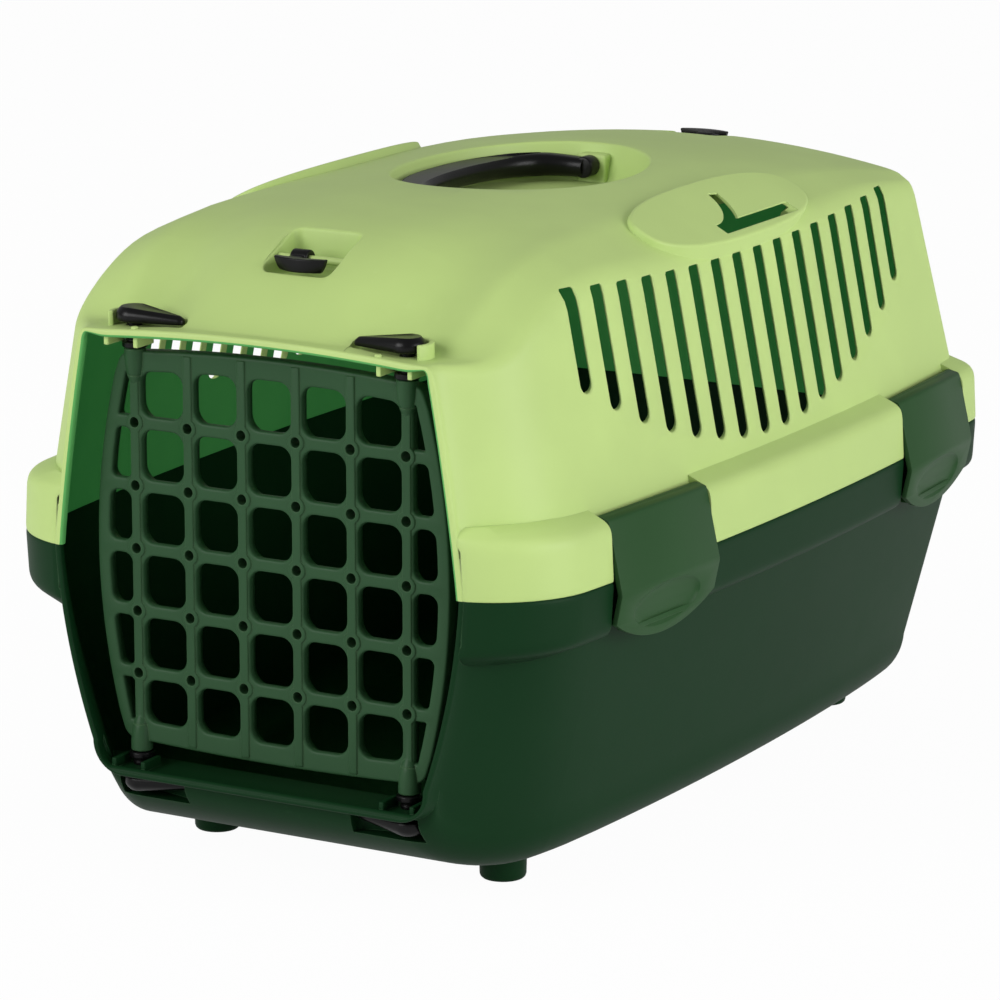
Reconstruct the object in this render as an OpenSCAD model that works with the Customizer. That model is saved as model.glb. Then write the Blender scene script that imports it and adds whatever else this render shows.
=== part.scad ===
// Transport carrier for a small animal: a vented upper shell on a deep tub, a barrel-shaped
// grille door held by four turn latches, four rim clips, a folding bail handle and strap eyes.
// The door faces -Y, the origin is on the floor under the middle of the overall length and width.

/* [Body] */
// Overall length, from the front lip to the back of the rim
body_len = 480; // [460:2:500]
// Overall width across the rim at its widest place
body_w = 320; // [308:2:332]
// Height of the parting plane between tub and upper shell
part_z = 156; // [152:1:160]
// Height of the roof at its highest place
roof_z = 308.6; // [304:0.2:314]
// Sheet thickness of both shells
wall = 2.6; // [2.2:0.1:3.2]
// How far each side bows out over half the length
side_bow = 13.2; // [9:0.1:16]
// Place along Y where the body is widest
widest_y = 29; // [0:1:40]
// How far the back bows out across half the width
rear_bow = 6; // [3:0.5:8]
// Radius of the body's rear corners in plan
rear_corner_r = 17; // [14:1:24]

/* [Rim] */
// How far the rim stands out from the walls
rim_out = 14; // [13:0.5:16]
// How far the rim stands out from the back wall
rear_out = 8; // [7:0.5:10]
// Height of the upper rim's skirt above the parting plane
rim_up = 27.5; // [26:0.5:29]
// Depth of the lower rim's skirt below the parting plane
rim_down = 30; // [29:0.5:32]
// Rise of both rim shelves from the skirt to the wall
shelf_rise = 4; // [3:0.5:5]
// Radius of the rim's front corners
rim_front_r = 45; // [42:1:48]
// Radius of the rim's rear corners
rim_rear_r = 20; // [18:1:24]

/* [Upper shell] */
// Lean of the upper walls, sideways millimetres per millimetre of height
lean_up = 0.2; // [0.17:0.01:0.22]
// Lean of the back wall of the upper shell
rear_lean_up = 0.16; // [0.1:0.01:0.2]
// Height of the ledge over the door at its middle
ledge_z = 263.3; // [262:0.1:265]
// Length over which the brow rises from the ledge to the roof
brow_len = 40; // [36:1:46]
// Length over which the corners swell from the collar to the sides
swell_len = 20; // [18:1:24]
// Crown of the roof, millimetres of fall at 100 mm from the middle
roof_crown = 9; // [7:0.5:10]
// Half width of the roof panel between its two creases
crease_x = 95; // [90:1:100]
// Fall of the roof towards the back
rear_fall = 15.5; // [12:0.5:18]
// Thickness of the lip round the doorway
lip = 4; // [3.5:0.1:5]

/* [Tub] */
// Height of the feet
foot_h = 16; // [13:0.5:17]
// Radius of the feet
foot_r = 11; // [9:0.5:13]
// Distance of the feet from the middle across the width
foot_x = 79; // [70:1:86]
// Distance between the front feet and the rear feet
foot_pitch = 346; // [320:2:350]
// Lean of the tub's walls, sideways millimetres per millimetre of height
lean_low = 0.215; // [0.18:0.005:0.23]
// Lean of the back wall of the tub
rear_lean_low = 0.185; // [0.12:0.005:0.22]
// Radius between the tub's walls and its floor
floor_r = 22; // [18:1:26]
// Height of the sill at the bottom of the doorway
sill_z = 52; // [50.5:0.5:53]
// Depth of the curved front under the sill, along Y
chin_len = 62; // [54:1:66]

/* [Vents] */
// Number of vent slots in each side
vent_count = 16; // [10:1:16]
// Distance between vent slots
vent_pitch = 21.2; // [17:0.1:21.4]
// Width of a vent slot
vent_w = 8; // [6:0.5:9]
// Height of the bottom of the middle vent slots
vent_low = 192; // [191:0.5:198]
// Rise of the slot bottoms from the middle to both ends of the row
vent_rise = 45; // [30:1:50]
// Height of the top of the middle vent slots
vent_top = 280.5; // [276:0.5:283]

/* [Door] */
// Thickness of the grille
door_t = 9; // [8:0.5:10]
// Half width of the door at mid height
door_half_w = 94; // [91:0.5:95]
// How far each side of the door bows out
door_side_bow = 13.5; // [11:0.5:15]
// Height of the middle of the door's top edge above the floor
door_top = 251.2; // [250:0.2:252]
// Height of the middle of the door's bottom edge above the floor
door_bottom = 61.7; // [61:0.1:63]
// Fall of the top edge from its middle to its corners
door_top_bow = 3.7; // [2:0.1:4.5]
// Distance between the vertical bars
bar_pitch_x = 28.9; // [28:0.1:29.4]
// Distance between the horizontal bars
bar_pitch_z = 29.7; // [28.5:0.1:30.5]
// Width of the bars
bar_w = 8.4; // [7:0.1:9.4]
// Width of the door's side borders
side_border = 6.2; // [5.5:0.1:7.5]
// Width of the door's top and bottom borders
end_border = 9; // [8:0.1:10]
// Radius of the cells' corners
cell_r = 7; // [5:0.5:8]
// Diameter of the small holes where bars cross
node_hole_d = 5; // [4:0.5:6]

/* [Latches] */
// Depth of the latch axis behind the front of the lip
latch_depth = 15; // [14:0.5:16.5]
// Diameter of the latch pins
pin_d = 7; // [6:0.2:7.6]
// Length of the lever from the axis to its tip
lever_len = 27; // [24:0.5:28]
// Radius of the lever's round end
lever_r = 8.4; // [7.6:0.2:9]
// Height of the lever at its round end
lever_h = 7.8; // [6.5:0.1:8.5]
// Running clearance round the turning and sliding pieces
clear = 0.3; // [0.25:0.05:0.4]

/* [Clips] */
// Width of a clip along the rim
clip_w = 84; // [70:1:88]
// Distance between the middles of the front clips and the rear clips
clip_pitch = 292; // [280:2:300]
// Place along Y midway between the front clips and the rear clips
clip_mid_y = 12; // [6:1:18]
// Sheet thickness of a clip
clip_t = 2.6; // [2.2:0.1:3]
// How far the clip's crease stands out of the rim
clip_proud = 4; // [3:0.5:5]

/* [Handle] */
// Half length of the handle recess along Y
recess_ry = 80; // [77:1:84]
// Half width of the handle recess
recess_rx = 57; // [55:1:60]
// Height of the recess floor
recess_z = 288; // [286:0.5:289]
// Middle of the handle along Y
handle_y = 7; // [0:1:14]
// Half distance between the handle's pivots
handle_half = 67; // [64:0.5:68]
// Reach of the grip from the pivot axis
handle_reach = 44; // [40:0.5:45]
// Diameter of the handle's arms
arm_d = 10.4; // [9.5:0.1:11]

/* [Strap eyes] */
// Width of the strap-eye recesses
eye_recess_w = 34; // [32:0.5:36]
// Length of the strap-eye recesses along the roof
eye_recess_len = 30; // [28:0.5:32]
// Depth of the strap-eye recesses
eye_recess_depth = 13; // [12:0.5:14]
// Thickness of the strap eye's loop
eye_t = 5; // [4.5:0.1:5.5]

/* [Belt guides] */
// Length of the belt guides
guide_len = 170; // [150:2:180]
// Width of the belt guides
guide_w = 46; // [40:1:50]
// Width of the belt slots
belt_slot_w = 8; // [6:0.5:9]

/* [Hidden] */
$fn = 32;

front_y = -body_len / 2;
rear_y = body_len / 2;
half_w = body_w / 2;
rear_wall_y = rear_y - rear_out;
shelf_z = part_z + rim_up + shelf_rise;
low_shelf_z = part_z - rim_down - shelf_rise;
floor_z = foot_h;
through = 1;

// Doorway collar and the curves that lead out of it
collar_half = 109;
ledge_arch = 0.0005;
roof_flat_y = 22;
rear_edge_r = 16;
front_crease_x = 80;
brow_power = 1.15;
swell_power = 1.6;
swell_start = 2;
swell_growth = 0.14;
brow_start = 3;
corner_lead = 1.1;
scallop_depth = 20;
scallop_w = 25;

// Latch seats
latch_x = 2.5 * bar_pitch_x;
latch_y = front_y + latch_depth;
deck_t = 3.7;
deck_z = ledge_z - ledge_arch * pow(latch_x, 2) - clear;
sill_t = 3;
sill_skin = 2.8;
sill_corner_r = 16;
lever_gap = 2.2;
neck_len = 3.2;
guard_t = 2.4;
guard_h = 6.5;
seat_wall = 2.8;
seat_gap = 1.2;
seat_sink = 2;
sill_len = 27;
pocket_h = 12;
shaft_r = pin_d / 2;
neck_r = shaft_r + 0.7;
flange_r = shaft_r + 2.5;
flange_t = 3;
fin_h = 4.5;
fin_x = 8;
lever_tip_r = 2.8;
lever_bore = 4.5;
pin_tip = 12;

// Door seat
door_front_y = latch_y - 2;
door_mid_z = part_z - 0.4;
door_edge_r = 8;
boss_r = 5.9;
boss_bore_r = shaft_r + clear;
boss_len = 17;
pin_flat = 4.2;
slot_clear = 0.7;
upper_flange_z = deck_z - deck_t - neck_len - clear - flange_t;
lower_flange_z = sill_z + neck_len + clear + flange_t;

// Clip seats
hub_r = 2.6;
hub_in = 9.6;
hub_z = shelf_z - 5.1;
peg_r = 1.8;
rib_t = 3.6;
catch_z = low_shelf_z + 11;
catch_t = 2.5;
catch_in = 7;
catch_w = 60;
peg_len = 2.5;
pad_w = 64;
pad_h = 20;
pad_depth = 0.8;

// Handle and strap-eye seats
handle_z = recess_z + 8.5;
handle_peg_r = 2.4;
handle_hub_l = 9;
bracket_w = 16;
eye_hub_r = 4.2;
eye_rod_r = 3.4;
eye_axle_r = 1.8;
eye_front_y = front_y + 53;
eye_rear_y = rear_y - 46;
eye_ring_w = 27;
eye_ring_len = 14;
eye_barrel_l = 10;
eye_shift = 6.5;
eye_gap = 4.6;
eye_ring_r = 4;
handle_peg_l = 3.6;
bracket_top = 5.5;
grip_w = 15.5;

// Belt guide placing
guide_out = 13.5;
guide_up = 10.5;
guide_tilt = 27;
guide_rise = 5;
guide_sink = 3.5;
belt_cut = 20;
belt_slot_y = -21;
belt_slot_l = 83;

green = [0.75, 0.84, 0.55];
dark_green = [0.15, 0.27, 0.17];
grille_green = [0.25, 0.35, 0.24];
black = [0.09, 0.09, 0.09];

// ---------------------------------------------------------------- general functions
function lerp(a, b, t) = a + (b - a) * t;
function clamp01(t) = min(1, max(0, t));
// Setback of a corner rounded with radius r, at distance d from its end
function corner(d, r) = d >= r ? 0 : r - sqrt(pow(r, 2) - pow(r - max(0, d), 2));
// Smooth rise from 0 at start towards 1
function rise(y, start, length, power) = y <= start ? 0 : 1 - exp(-pow((y - start) / length, power));
function reversed(list) = [for (i = [len(list) - 1:-1:0]) list[i]];
// Closes a half outline with its mirror image; a point at X = 0 is taken once
function with_mirror(half) = concat(half, [for (p = reversed(half)) if (p.x > 0) [-p.x, p.y, p.z]]);

// Skin through rings of equal length that are symmetrical about X = 0, taken so that each ring
// turns clockwise as the next one sees it
module loft(rings) {
    n = len(rings[0]);
    last = (len(rings) - 1) * n;
    cap = [for (i = [0:floor(n / 2) - 1]) let (m = n - 1 - i)
        each (i + 1 == m ? [] : i + 1 == m - 1 ? [[i, i + 1, m]] : [[i, i + 1, m - 1], [i, m - 1, m]])];
    skin = [for (j = [0:len(rings) - 2], i = [0:n - 1])
        let (a = j * n + i, b = j * n + (i + 1) % n) each [[a, a + n, b + n], [a, b + n, b]]];
    polyhedron(
        points = [for (ring = rings) each ring],
        faces = concat(cap, [for (f = cap) [f[2] + last, f[1] + last, f[0] + last]], skin)
    );
}

// Arc of n + 1 points that rounds corner b between a and c
function arc_corner(a, b, c, r, n) =
    let (
        u = (a - b) / norm(a - b),
        v = (c - b) / norm(c - b),
        half = acos(u * v) / 2,
        centre = b + (u + v) / norm(u + v) * r / sin(half),
        first = b + u * r / tan(half) - centre,
        start = atan2(first.y, first.x),
        turn = (u.x * v.y - u.y * v.x > 0 ? -1 : 1) * (180 - 2 * half)
    ) [for (k = [0:n]) centre + r * [cos(start + turn * k / n), sin(start + turn * k / n)]];

function rounded(points, r, n = 5) =
    let (m = len(points))
    [for (i = [0:m - 1]) each arc_corner(points[(i + m - 1) % m], points[i], points[(i + 1) % m], r, n)];

// ---------------------------------------------------------------- body shape
function half_side(y) = half_w - side_bow * pow((y - widest_y) / rear_y, 2);
function side_slope(y) = -2 * side_bow * (y - widest_y) / pow(rear_y, 2);
function bowed(x, y) = y - rear_bow * pow(x / half_w, 2) * pow(max(0, y) / rear_y, 3);
function side_swell(y, z) =
    rise(y, front_y + swell_start, swell_len + swell_growth * max(0, part_z - z), swell_power);
function scallop(x) = scallop_depth * exp(-pow((abs(x) - latch_x) / scallop_w, 2));
function brow(x, y) = rise(y, front_y + brow_start + scallop(x), brow_len, brow_power);
function skin_t(y, front_t) = lerp(front_t, wall, side_swell(y, part_z));

// Half width of the rim, set in by o
function rim_x(y, o) =
    half_side(y) - o - corner(y - front_y + corner_lead, rim_front_r)
    - corner(rear_y - o - y, max(wall, rim_rear_r - o));

// Half width of the collar round the doorway, above and below the parting plane
function collar_up(z) = collar_half - 0.11 * (z - part_z) - 0.0004 * pow(z - part_z, 2);
function collar_low(z) = collar_half - 0.06 * (part_z - z) - 0.00162 * pow(part_z - z, 2);

function upper_x(y, z, o) =
    lerp(collar_up(z), half_side(y) - rim_out - lean_up * (z - shelf_z), side_swell(y, z))
    - corner(rear_wall_y - o - y, rear_corner_r - o);
function lower_x(y, z, o) =
    lerp(collar_low(z), half_side(y) - rim_out - lean_low * (low_shelf_z - z), side_swell(y, z))
    - corner(rear_wall_y - o - y, rear_corner_r - o);

function roof(x, y) = lerp(
    ledge_z - ledge_arch * pow(x, 2),
    roof_z - roof_crown * pow(x / 100, 2)
        - rear_fall * pow(max(0, y - roof_flat_y) / (rear_y - roof_flat_y), 2),
    brow(x, y)
);
function vent_top_z(y) = vent_top + 6.5 * pow(y / 160, 2);
function shoulder_z(y, o) =
    lerp(ledge_z - 3.5, vent_top_z(y) + 2.5, brow(half_w, y)) - corner(rear_wall_y - o - y, rear_edge_r);
function crease(y) = lerp(front_crease_x, crease_x + 18 * pow(max(0, y) / rear_y, 2), brow(half_w, y));

// Leans the back wall forward as it rises
function upper_lean(y, z) = y - rear_lean_up * (z - shelf_z) * pow(clamp01(y / rear_wall_y), 4);

// Half section of the upper shell at y, from the parting plane over the shoulder to the middle
function upper_section(y, o, base) =
    let (
        t = o > 0 ? skin_t(y, lip) : 0,
        drop = corner(rear_wall_y - o - y, rear_edge_r),
        cz = shoulder_z(y, o),
        cx = upper_x(y, cz, o),
        kx = min(crease(y), cx - 6),
        kz = min(roof(kx, y) - drop, cz + 26),
        wall_points = [for (f = [0, 0.35, 0.7, 0.93])
            let (z = lerp(part_z, cz, f)) [upper_x(y, z, o), z, 0]],
        a = wall_points[3],
        b = [lerp(cx, kx, 0.3), lerp(cz, kz, 0.3), 0],
        bend = [for (f = [0.33, 0.67])
            [lerp(lerp(a.x, cx, f), lerp(cx, b.x, f), f), lerp(lerp(a.y, cz, f), lerp(cz, b.y, f), f), 0.4]],
        facet = [for (f = [0.3]) [lerp(cx, kx, f), lerp(cz, kz, f), 0.6]],
        top = [for (f = [1, 0.85, 0.68, 0.5, 0.3, 0])
            [kx * f, roof(kx * f, y) - drop, 1]],
        points = concat(wall_points, bend, facet, top)
    )
    [for (i = [0:len(points) - 1]) let (p = points[i], z = i == 0 ? base : p.y - t * p.z)
        [p.x - (p.x > 0 ? t * (1 - p.z) : 0), bowed(p.x, upper_lean(y, z)), z]];

front_steps = [0, 4, 8, 12, 17, 23, 31, 42, 60, 88];
rear_steps = [66, 40, 22, 13, 7, 3, 0.7, 0];
middle_steps = 4;
// Each station is a place along Y and a factor on the section's width; the last ones form the bowed back
function stations(o) = concat(
    [for (s = front_steps) [front_y + (s == 0 && o > 0 ? -through : s), 1]],
    [for (k = [1:middle_steps]) [lerp(front_y + 88, rear_wall_y - 66, k / (middle_steps + 1)), 1]],
    [for (s = rear_steps) [rear_wall_y - o - s, 1]],
    [for (f = [0.7, 0.35]) [rear_wall_y - o, f]]
);
function squeezed(points, f) = [for (p = points) [p.x * f, p.y + rear_bow * (1 - f * f) * pow(p.x / half_w, 2), p.z]];
module upper_form(o) {
    base = part_z - (o > 0 ? through : 0);
    loft([for (s = reversed(stations(o))) with_mirror(squeezed(upper_section(s.x, o, base), s.y))]);
}

// Height of the tub's underside at y
function keel_z(y, o) =
    let (chin_y = front_y + 8, d = chin_y + chin_len - y, sill_low = sill_z - sill_t)
    (y <= chin_y ? sill_low
        : y < chin_y + chin_len ? sill_low - (sill_low - floor_z) * sqrt(1 - pow(d / chin_len, 2)) : floor_z)
    + corner(rear_wall_y - o - y, floor_r);
function lower_lean(y, z) = y - rear_lean_low * (low_shelf_z - z) * pow(clamp01(y / rear_wall_y), 4);

// Half section of the tub at y, from the parting plane down round the floor edge to the middle
function lower_section(y, o, base, share) =
    let (
        t = o > 0 ? share * skin_t(y, sill_skin) : 0,
        kz = keel_z(y, o),
        r = lerp(sill_corner_r, floor_r, side_swell(y, floor_z)),
        ex = lower_x(y, kz + r, o),
        wall_points = [for (f = [0, 0.25, 0.5, 0.75])
            let (z = lerp(part_z, kz + r, f)) [lower_x(y, z, o), z, 0]],
        edge = [for (a = [0:18:90]) [ex - r + r * cos(a), kz + r - r * sin(a), a / 90]],
        floor_points = [for (f = [0.7, 0.35, 0]) [(ex - r) * f, kz, 1]],
        points = concat(wall_points, edge, floor_points)
    )
    [for (i = [0:len(points) - 1]) let (p = points[i], z = i == 0 ? base : p.y + t * p.z)
        [p.x - (p.x > 0 ? t * (1 - p.z) : 0), bowed(p.x, lower_lean(y, z)), z]];
// The share sets how much of the sheet thickness the form is set in by
module lower_form(o, share = 1) {
    base = part_z + (o > 0 ? through : 0);
    loft([for (s = stations(o)) with_mirror(squeezed(lower_section(s.x, o, base, share), s.y))]);
}

// ---------------------------------------------------------------- rim
rim_front_steps = [0, 3, 8, 14, 21, 31, 44];
rim_rear_steps = [20, 10, 4, 1, 0];
function rim_stations(o, back) = concat(
    [for (s = rim_front_steps) front_y + (s == 0 ? back : max(s, back + s / 20))],
    [for (k = [1:5]) lerp(front_y + 44, rear_y - 24, k / 6)],
    [for (s = rim_rear_steps) rear_y - o - s]
);
function rim_ring(o, z, back = 0) =
    let (back_x = rim_x(rear_y - o, o)) with_mirror(concat(
        [for (y = rim_stations(o, back)) let (x = rim_x(y, o)) [x, bowed(x, y), z]],
        [for (f = [0.75, 0.5, 0.25, 0]) [back_x * f, bowed(back_x * f, rear_y - o), z]]
    ));
// Rings of the rim, dir is 1 for the upper rim and -1 for the lower, t sets them in for the hollow
function rim_rings(dir, height, t) = [
    rim_ring(t, part_z - (t > 0 ? dir * through : 0), t),
    rim_ring(1.2 + t, part_z + dir * height * 0.8, t),
    rim_ring(2.2 + t, part_z + dir * (height - 2.4 - t * 0.6), t),
    rim_ring(4.6 + t * 0.6, part_z + dir * (height - t), t),
    rim_ring(rim_out + 2, part_z + dir * (height + shelf_rise * 1.2 - t), t)
];
module at_clip(side, y) {
    mirror([side < 0 ? 1 : 0, 0, 0])
        translate([half_side(y), y, 0])
            rotate([0, 0, -atan(side_slope(y))])
                children();
}
clip_ys = [clip_mid_y - clip_pitch / 2, clip_mid_y + clip_pitch / 2];
module at_clips() {
    for (side = [1, -1], y = clip_ys)
        at_clip(side, y) children();
}
notch_w = clip_w + 2 * (clear + 0.4);

// Hollow skirt with its shelf, open at the four clips and closed by a rib at each opening
module rim(dir, height) {
    rings = rim_rings(dir, height, 0);
    hollow = rim_rings(dir, height, wall);
    difference() {
        loft(dir > 0 ? rings : reversed(rings));
        difference() {
            loft(dir > 0 ? hollow : reversed(hollow));
            at_clips()
                translate([-2 * rim_out, -notch_w / 2 - rib_t, 0])
                    cube([4 * rim_out, notch_w + 2 * rib_t, 2 * part_z]);
        }
        at_clips()
            translate([-2 * rim_out, -notch_w / 2, 0])
                cube([4 * rim_out, notch_w, 2 * part_z]);
    }
}

// ---------------------------------------------------------------- upper shell
module vents() {
    for (side = [0, 1], k = [0:vent_count - 1]) {
        t = (2 * k - vent_count + 1) / (vent_count - 1);
        y = vent_pitch * (vent_count - 1) / 2 * t - 1;
        low = vent_low + vent_rise * pow(t, 2) + vent_w / 2;
        mirror([side, 0, 0])
            hull() {
                translate([crease_x + 17, y, low])
                    rotate([0, 90, 0])
                        cylinder(d = vent_w, h = half_w, $fn = 12);
                translate([crease_x + 17, y - vent_w / 2, vent_top_z(y) - 2])
                    cube([half_w, vent_w, 2]);
            }
    }
}

// Cup under the handle, grown by o
recess_draft = 4;
module recess_cup(o) {
    rx = recess_rx - recess_draft + o;
    ry = recess_ry - recess_draft + o;
    translate([0, handle_y, recess_z - o])
        scale([rx, ry, 1])
            cylinder(h = roof_z - recess_z + o + through, r1 = 1, r2 = 1 + recess_draft / rx, $fn = 48);
}
// Pivot blocks at both ends of the cup
module handle_brackets() {
    start = handle_half + handle_hub_l / 2 + clear;
    for (end = [0, 1])
        translate([0, handle_y, recess_z - wall])
            mirror([0, end, 0])
                translate([-bracket_w / 2, start, 0])
                    cube([bracket_w, recess_ry - start + wall, handle_z + bracket_top - recess_z + wall]);
}
module handle_peg_holes() {
    for (end = [0, 1])
        translate([0, handle_y, handle_z])
            mirror([0, end, 0])
                rotate([-90, 0, 0])
                    cylinder(r = handle_peg_r + clear, h = handle_half + handle_hub_l / 2 + handle_peg_l + 2 * clear);
}

// Square cup under a strap eye, grown by o
module eye_cup(y, o) {
    translate([0, y, roof(0, y) - eye_recess_depth - o])
        linear_extrude(3 * eye_recess_depth, scale = 1.12)
            square([eye_recess_w + 2 * o, eye_recess_len + 2 * o], center = true);
}
function eye_z(y) = roof(0, y) - 5.2;
module eye_axle(y) {
    translate([-eye_recess_w / 2 - wall, y, eye_z(y)])
        rotate([0, 90, 0])
            cylinder(r = eye_axle_r, h = eye_recess_w + 2 * wall);
}

// Middle of a belt guide on the right (side 0) or left (side 1) shoulder
module at_guide(side) {
    mirror([side, 0, 0])
        translate([crease_x + guide_out, handle_y + 2, vent_top + guide_up])
            children();
}
// Raised oval, with X down the slope of the shoulder and Z out of it
module guide_dome() {
    translate([0, 0, -guide_sink])
        linear_extrude(guide_rise + guide_sink, scale = 0.94)
            scale([guide_w / 2, guide_len / 2])
                circle(r = 1, $fn = 36);
}
// Curved and straight belt slots, joined in an L and cut straight down, as the mould opens
module belt_slots() {
    low_x = guide_w / 2 - 9;
    bend_r = 30;
    translate([low_x - bend_r, belt_slot_y, -belt_cut])
        rotate_extrude(angle = 78)
            translate([bend_r - belt_slot_w / 2, 0])
                square([belt_slot_w, 2 * belt_cut]);
    translate([low_x - belt_slot_w / 2, belt_slot_y - 1, -belt_cut])
        cube([belt_slot_w, belt_slot_l, 2 * belt_cut]);
}

// ---------------------------------------------------------------- latch seats
// Places a latch on the right (side 0) or left (side 1)
module at_latch(side) {
    mirror([side, 0, 0])
        translate([latch_x, latch_y, 0])
            children();
}
// Plan of a lever that points towards the middle, grown by o
module lever_plan(o) {
    reach = lever_len - lever_tip_r;
    turn = acos((lever_r - lever_tip_r) / reach);
    edge = [-cos(turn), sin(turn)];
    big = (lever_r + o) * edge;
    small = (lever_tip_r + o) * edge - [reach, 0];
    circle(r = lever_r + o);
    translate([-reach, 0])
        circle(r = lever_tip_r + o);
    polygon([big, small, [small.x, -small.y], [big.x, -big.y]]);
}
// Plan of the space that the lever crosses as it turns to the front
module lever_sweep() {
    reach = lever_len + seat_gap;
    for (a = [0, 90])
        rotate(a)
            lever_plan(seat_gap, $fn = 20);
    intersection() {
        circle(r = reach, $fn = 48);
        translate([-reach, -reach])
            square(reach);
    }
}
// Wall round the outer and rear side of the lever's round end
module guard() {
    inner = lever_r + seat_gap;
    linear_extrude(guard_h + seat_sink)
        difference() {
            circle(r = inner + guard_t, $fn = 24);
            circle(r = inner, $fn = 24);
            for (a = [100, 190, 235])
                rotate(a)
                    square(2 * inner);
        }
}
// Short ribs on both sides of a pin, standing towards +Z
module fins() {
    for (x = [-fin_x, fin_x])
        translate([x - guard_t / 2, 3 - latch_depth, -0.5])
            cube([guard_t, 14, fin_h + 0.5]);
}

module upper_shell() {
    color(green)
    union() {
        difference() {
            union() {
                difference() {
                    union() {
                        upper_form(0);
                        rim(1, rim_up);
                    }
                    upper_form(wall);
                }
                intersection() {
                    upper_form(0);
                    union() {
                        recess_cup(wall);
                        for (y = [eye_front_y, eye_rear_y])
                            eye_cup(y, wall);
                        for (side = [0, 1])
                            at_latch(side)
                                translate([0, 0, deck_z - deck_t])
                                    linear_extrude(2 * brow_len)
                                        lever_plan(seat_gap + seat_wall, $fn = 20);
                    }
                }
                for (side = [0, 1])
                    at_guide(side)
                        rotate([0, guide_tilt, 0])
                            guide_dome();
            }
            difference() {
                recess_cup(0);
                handle_brackets();
            }
            handle_peg_holes();
            for (y = [eye_front_y, eye_rear_y])
                eye_cup(y, 0);
            for (side = [0, 1]) {
                at_latch(side) {
                    translate([0, 0, deck_z])
                        linear_extrude(2 * brow_len)
                            lever_plan(seat_gap, $fn = 20);
                    translate([0, 0, deck_z + lever_gap - 2 * clear])
                        linear_extrude(2 * brow_len)
                            lever_sweep();
                    translate([0, 0, deck_z - 2 * deck_t])
                        cylinder(r = shaft_r + clear, h = 4 * deck_t);
                }
                at_guide(side)
                    scale([cos(guide_tilt), 1, 1])
                        belt_slots();
            }
            vents();
            clip_peg_holes();
        }
        eye_axle(eye_front_y);
        eye_axle(eye_rear_y);
        for (side = [0, 1])
            at_latch(side) {
                translate([0, 0, deck_z - seat_sink])
                    guard();
                translate([0, 0, deck_z - deck_t])
                    mirror([0, 0, 1])
                        fins();
                translate([-fin_x, 3 - latch_depth, deck_z - 1])
                    cylinder(r = 1.6, h = 1 + lever_gap - clear, $fn = 16);
            }
    }
}
module clip_peg_holes() {
    at_clips()
        translate([-hub_in, 0, hub_z])
            rotate([90, 0, 0])
                cylinder(r = peg_r + clear, h = notch_w + 2 * rib_t + 1, center = true, $fn = 16);
}

// ---------------------------------------------------------------- lower shell
foot_mid_y = front_y + 89 + foot_pitch / 2;
module at_feet() {
    for (x = [-foot_x, foot_x], y = [foot_mid_y - foot_pitch / 2, foot_mid_y + foot_pitch / 2])
        translate([x, y, 0])
            children();
}
// Foot with a rounded lower edge, set in by o
module foot(o) {
    hull() {
        translate([0, 0, o])
            cylinder(r = foot_r - o - 1.5, h = foot_h, $fn = 24);
        translate([0, 0, o + 1.5])
            cylinder(r = foot_r - o, h = foot_h + wall / 2 - 1.5 + o, $fn = 24);
    }
}
// Bars that the clips' catches hook under
module catch_bars() {
    at_clips()
        translate([-rim_out - wall, -notch_w / 2 - 1, catch_z])
            cube([rim_out + wall - catch_in, notch_w + 2, catch_t + 0.5]);
}
module lower_shell() {
    color(dark_green)
    difference() {
        union() {
            difference() {
                union() {
                    lower_form(0);
                    rim(-1, rim_down);
                    catch_bars();
                    at_feet()
                        foot(0);
                }
                lower_form(wall);
                at_feet()
                    foot(wall);
            }
            intersection() {
                lower_form(wall / 2, 0.5);
                union() {
                    translate([-half_w, front_y, sill_z - sill_t])
                        cube([body_w, sill_len, sill_t]);
                    for (side = [0, 1])
                        at_latch(side)
                            translate([0, 0, sill_z - sill_t - pocket_h - seat_wall])
                                linear_extrude(pocket_h + seat_wall + 1)
                                    lever_plan(seat_gap + seat_wall, $fn = 20);
                }
            }
            for (side = [0, 1])
                at_latch(side)
                    translate([0, 0, sill_z])
                        fins();
        }
        for (side = [0, 1])
            at_latch(side) {
                translate([0, 0, sill_z - sill_t - pocket_h])
                    linear_extrude(pocket_h)
                        lever_sweep();
                translate([0, 0, sill_z - 2 * sill_t])
                    cylinder(r = shaft_r + clear, h = 3 * sill_t);
            }
    }
}

// ---------------------------------------------------------------- latches
// Lever with its blind bore, standing on Z = 0, the bore opens downwards
module lever() {
    tip_h = 0.58 * lever_h;
    color(black)
    difference() {
        linear_extrude(lever_h)
            lever_plan(0);
        translate([-lever_r * 0.35, 0, lever_h])
            rotate([0, -atan((lever_h - tip_h) / (lever_len - lever_r * 0.35)), 0])
                translate([-2 * lever_len, -lever_len, 0])
                    cube([2 * lever_len, 2 * lever_len, lever_h]);
        translate([0, 0, -through])
            cylinder(r = shaft_r, h = through + lever_bore);
    }
}
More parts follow.
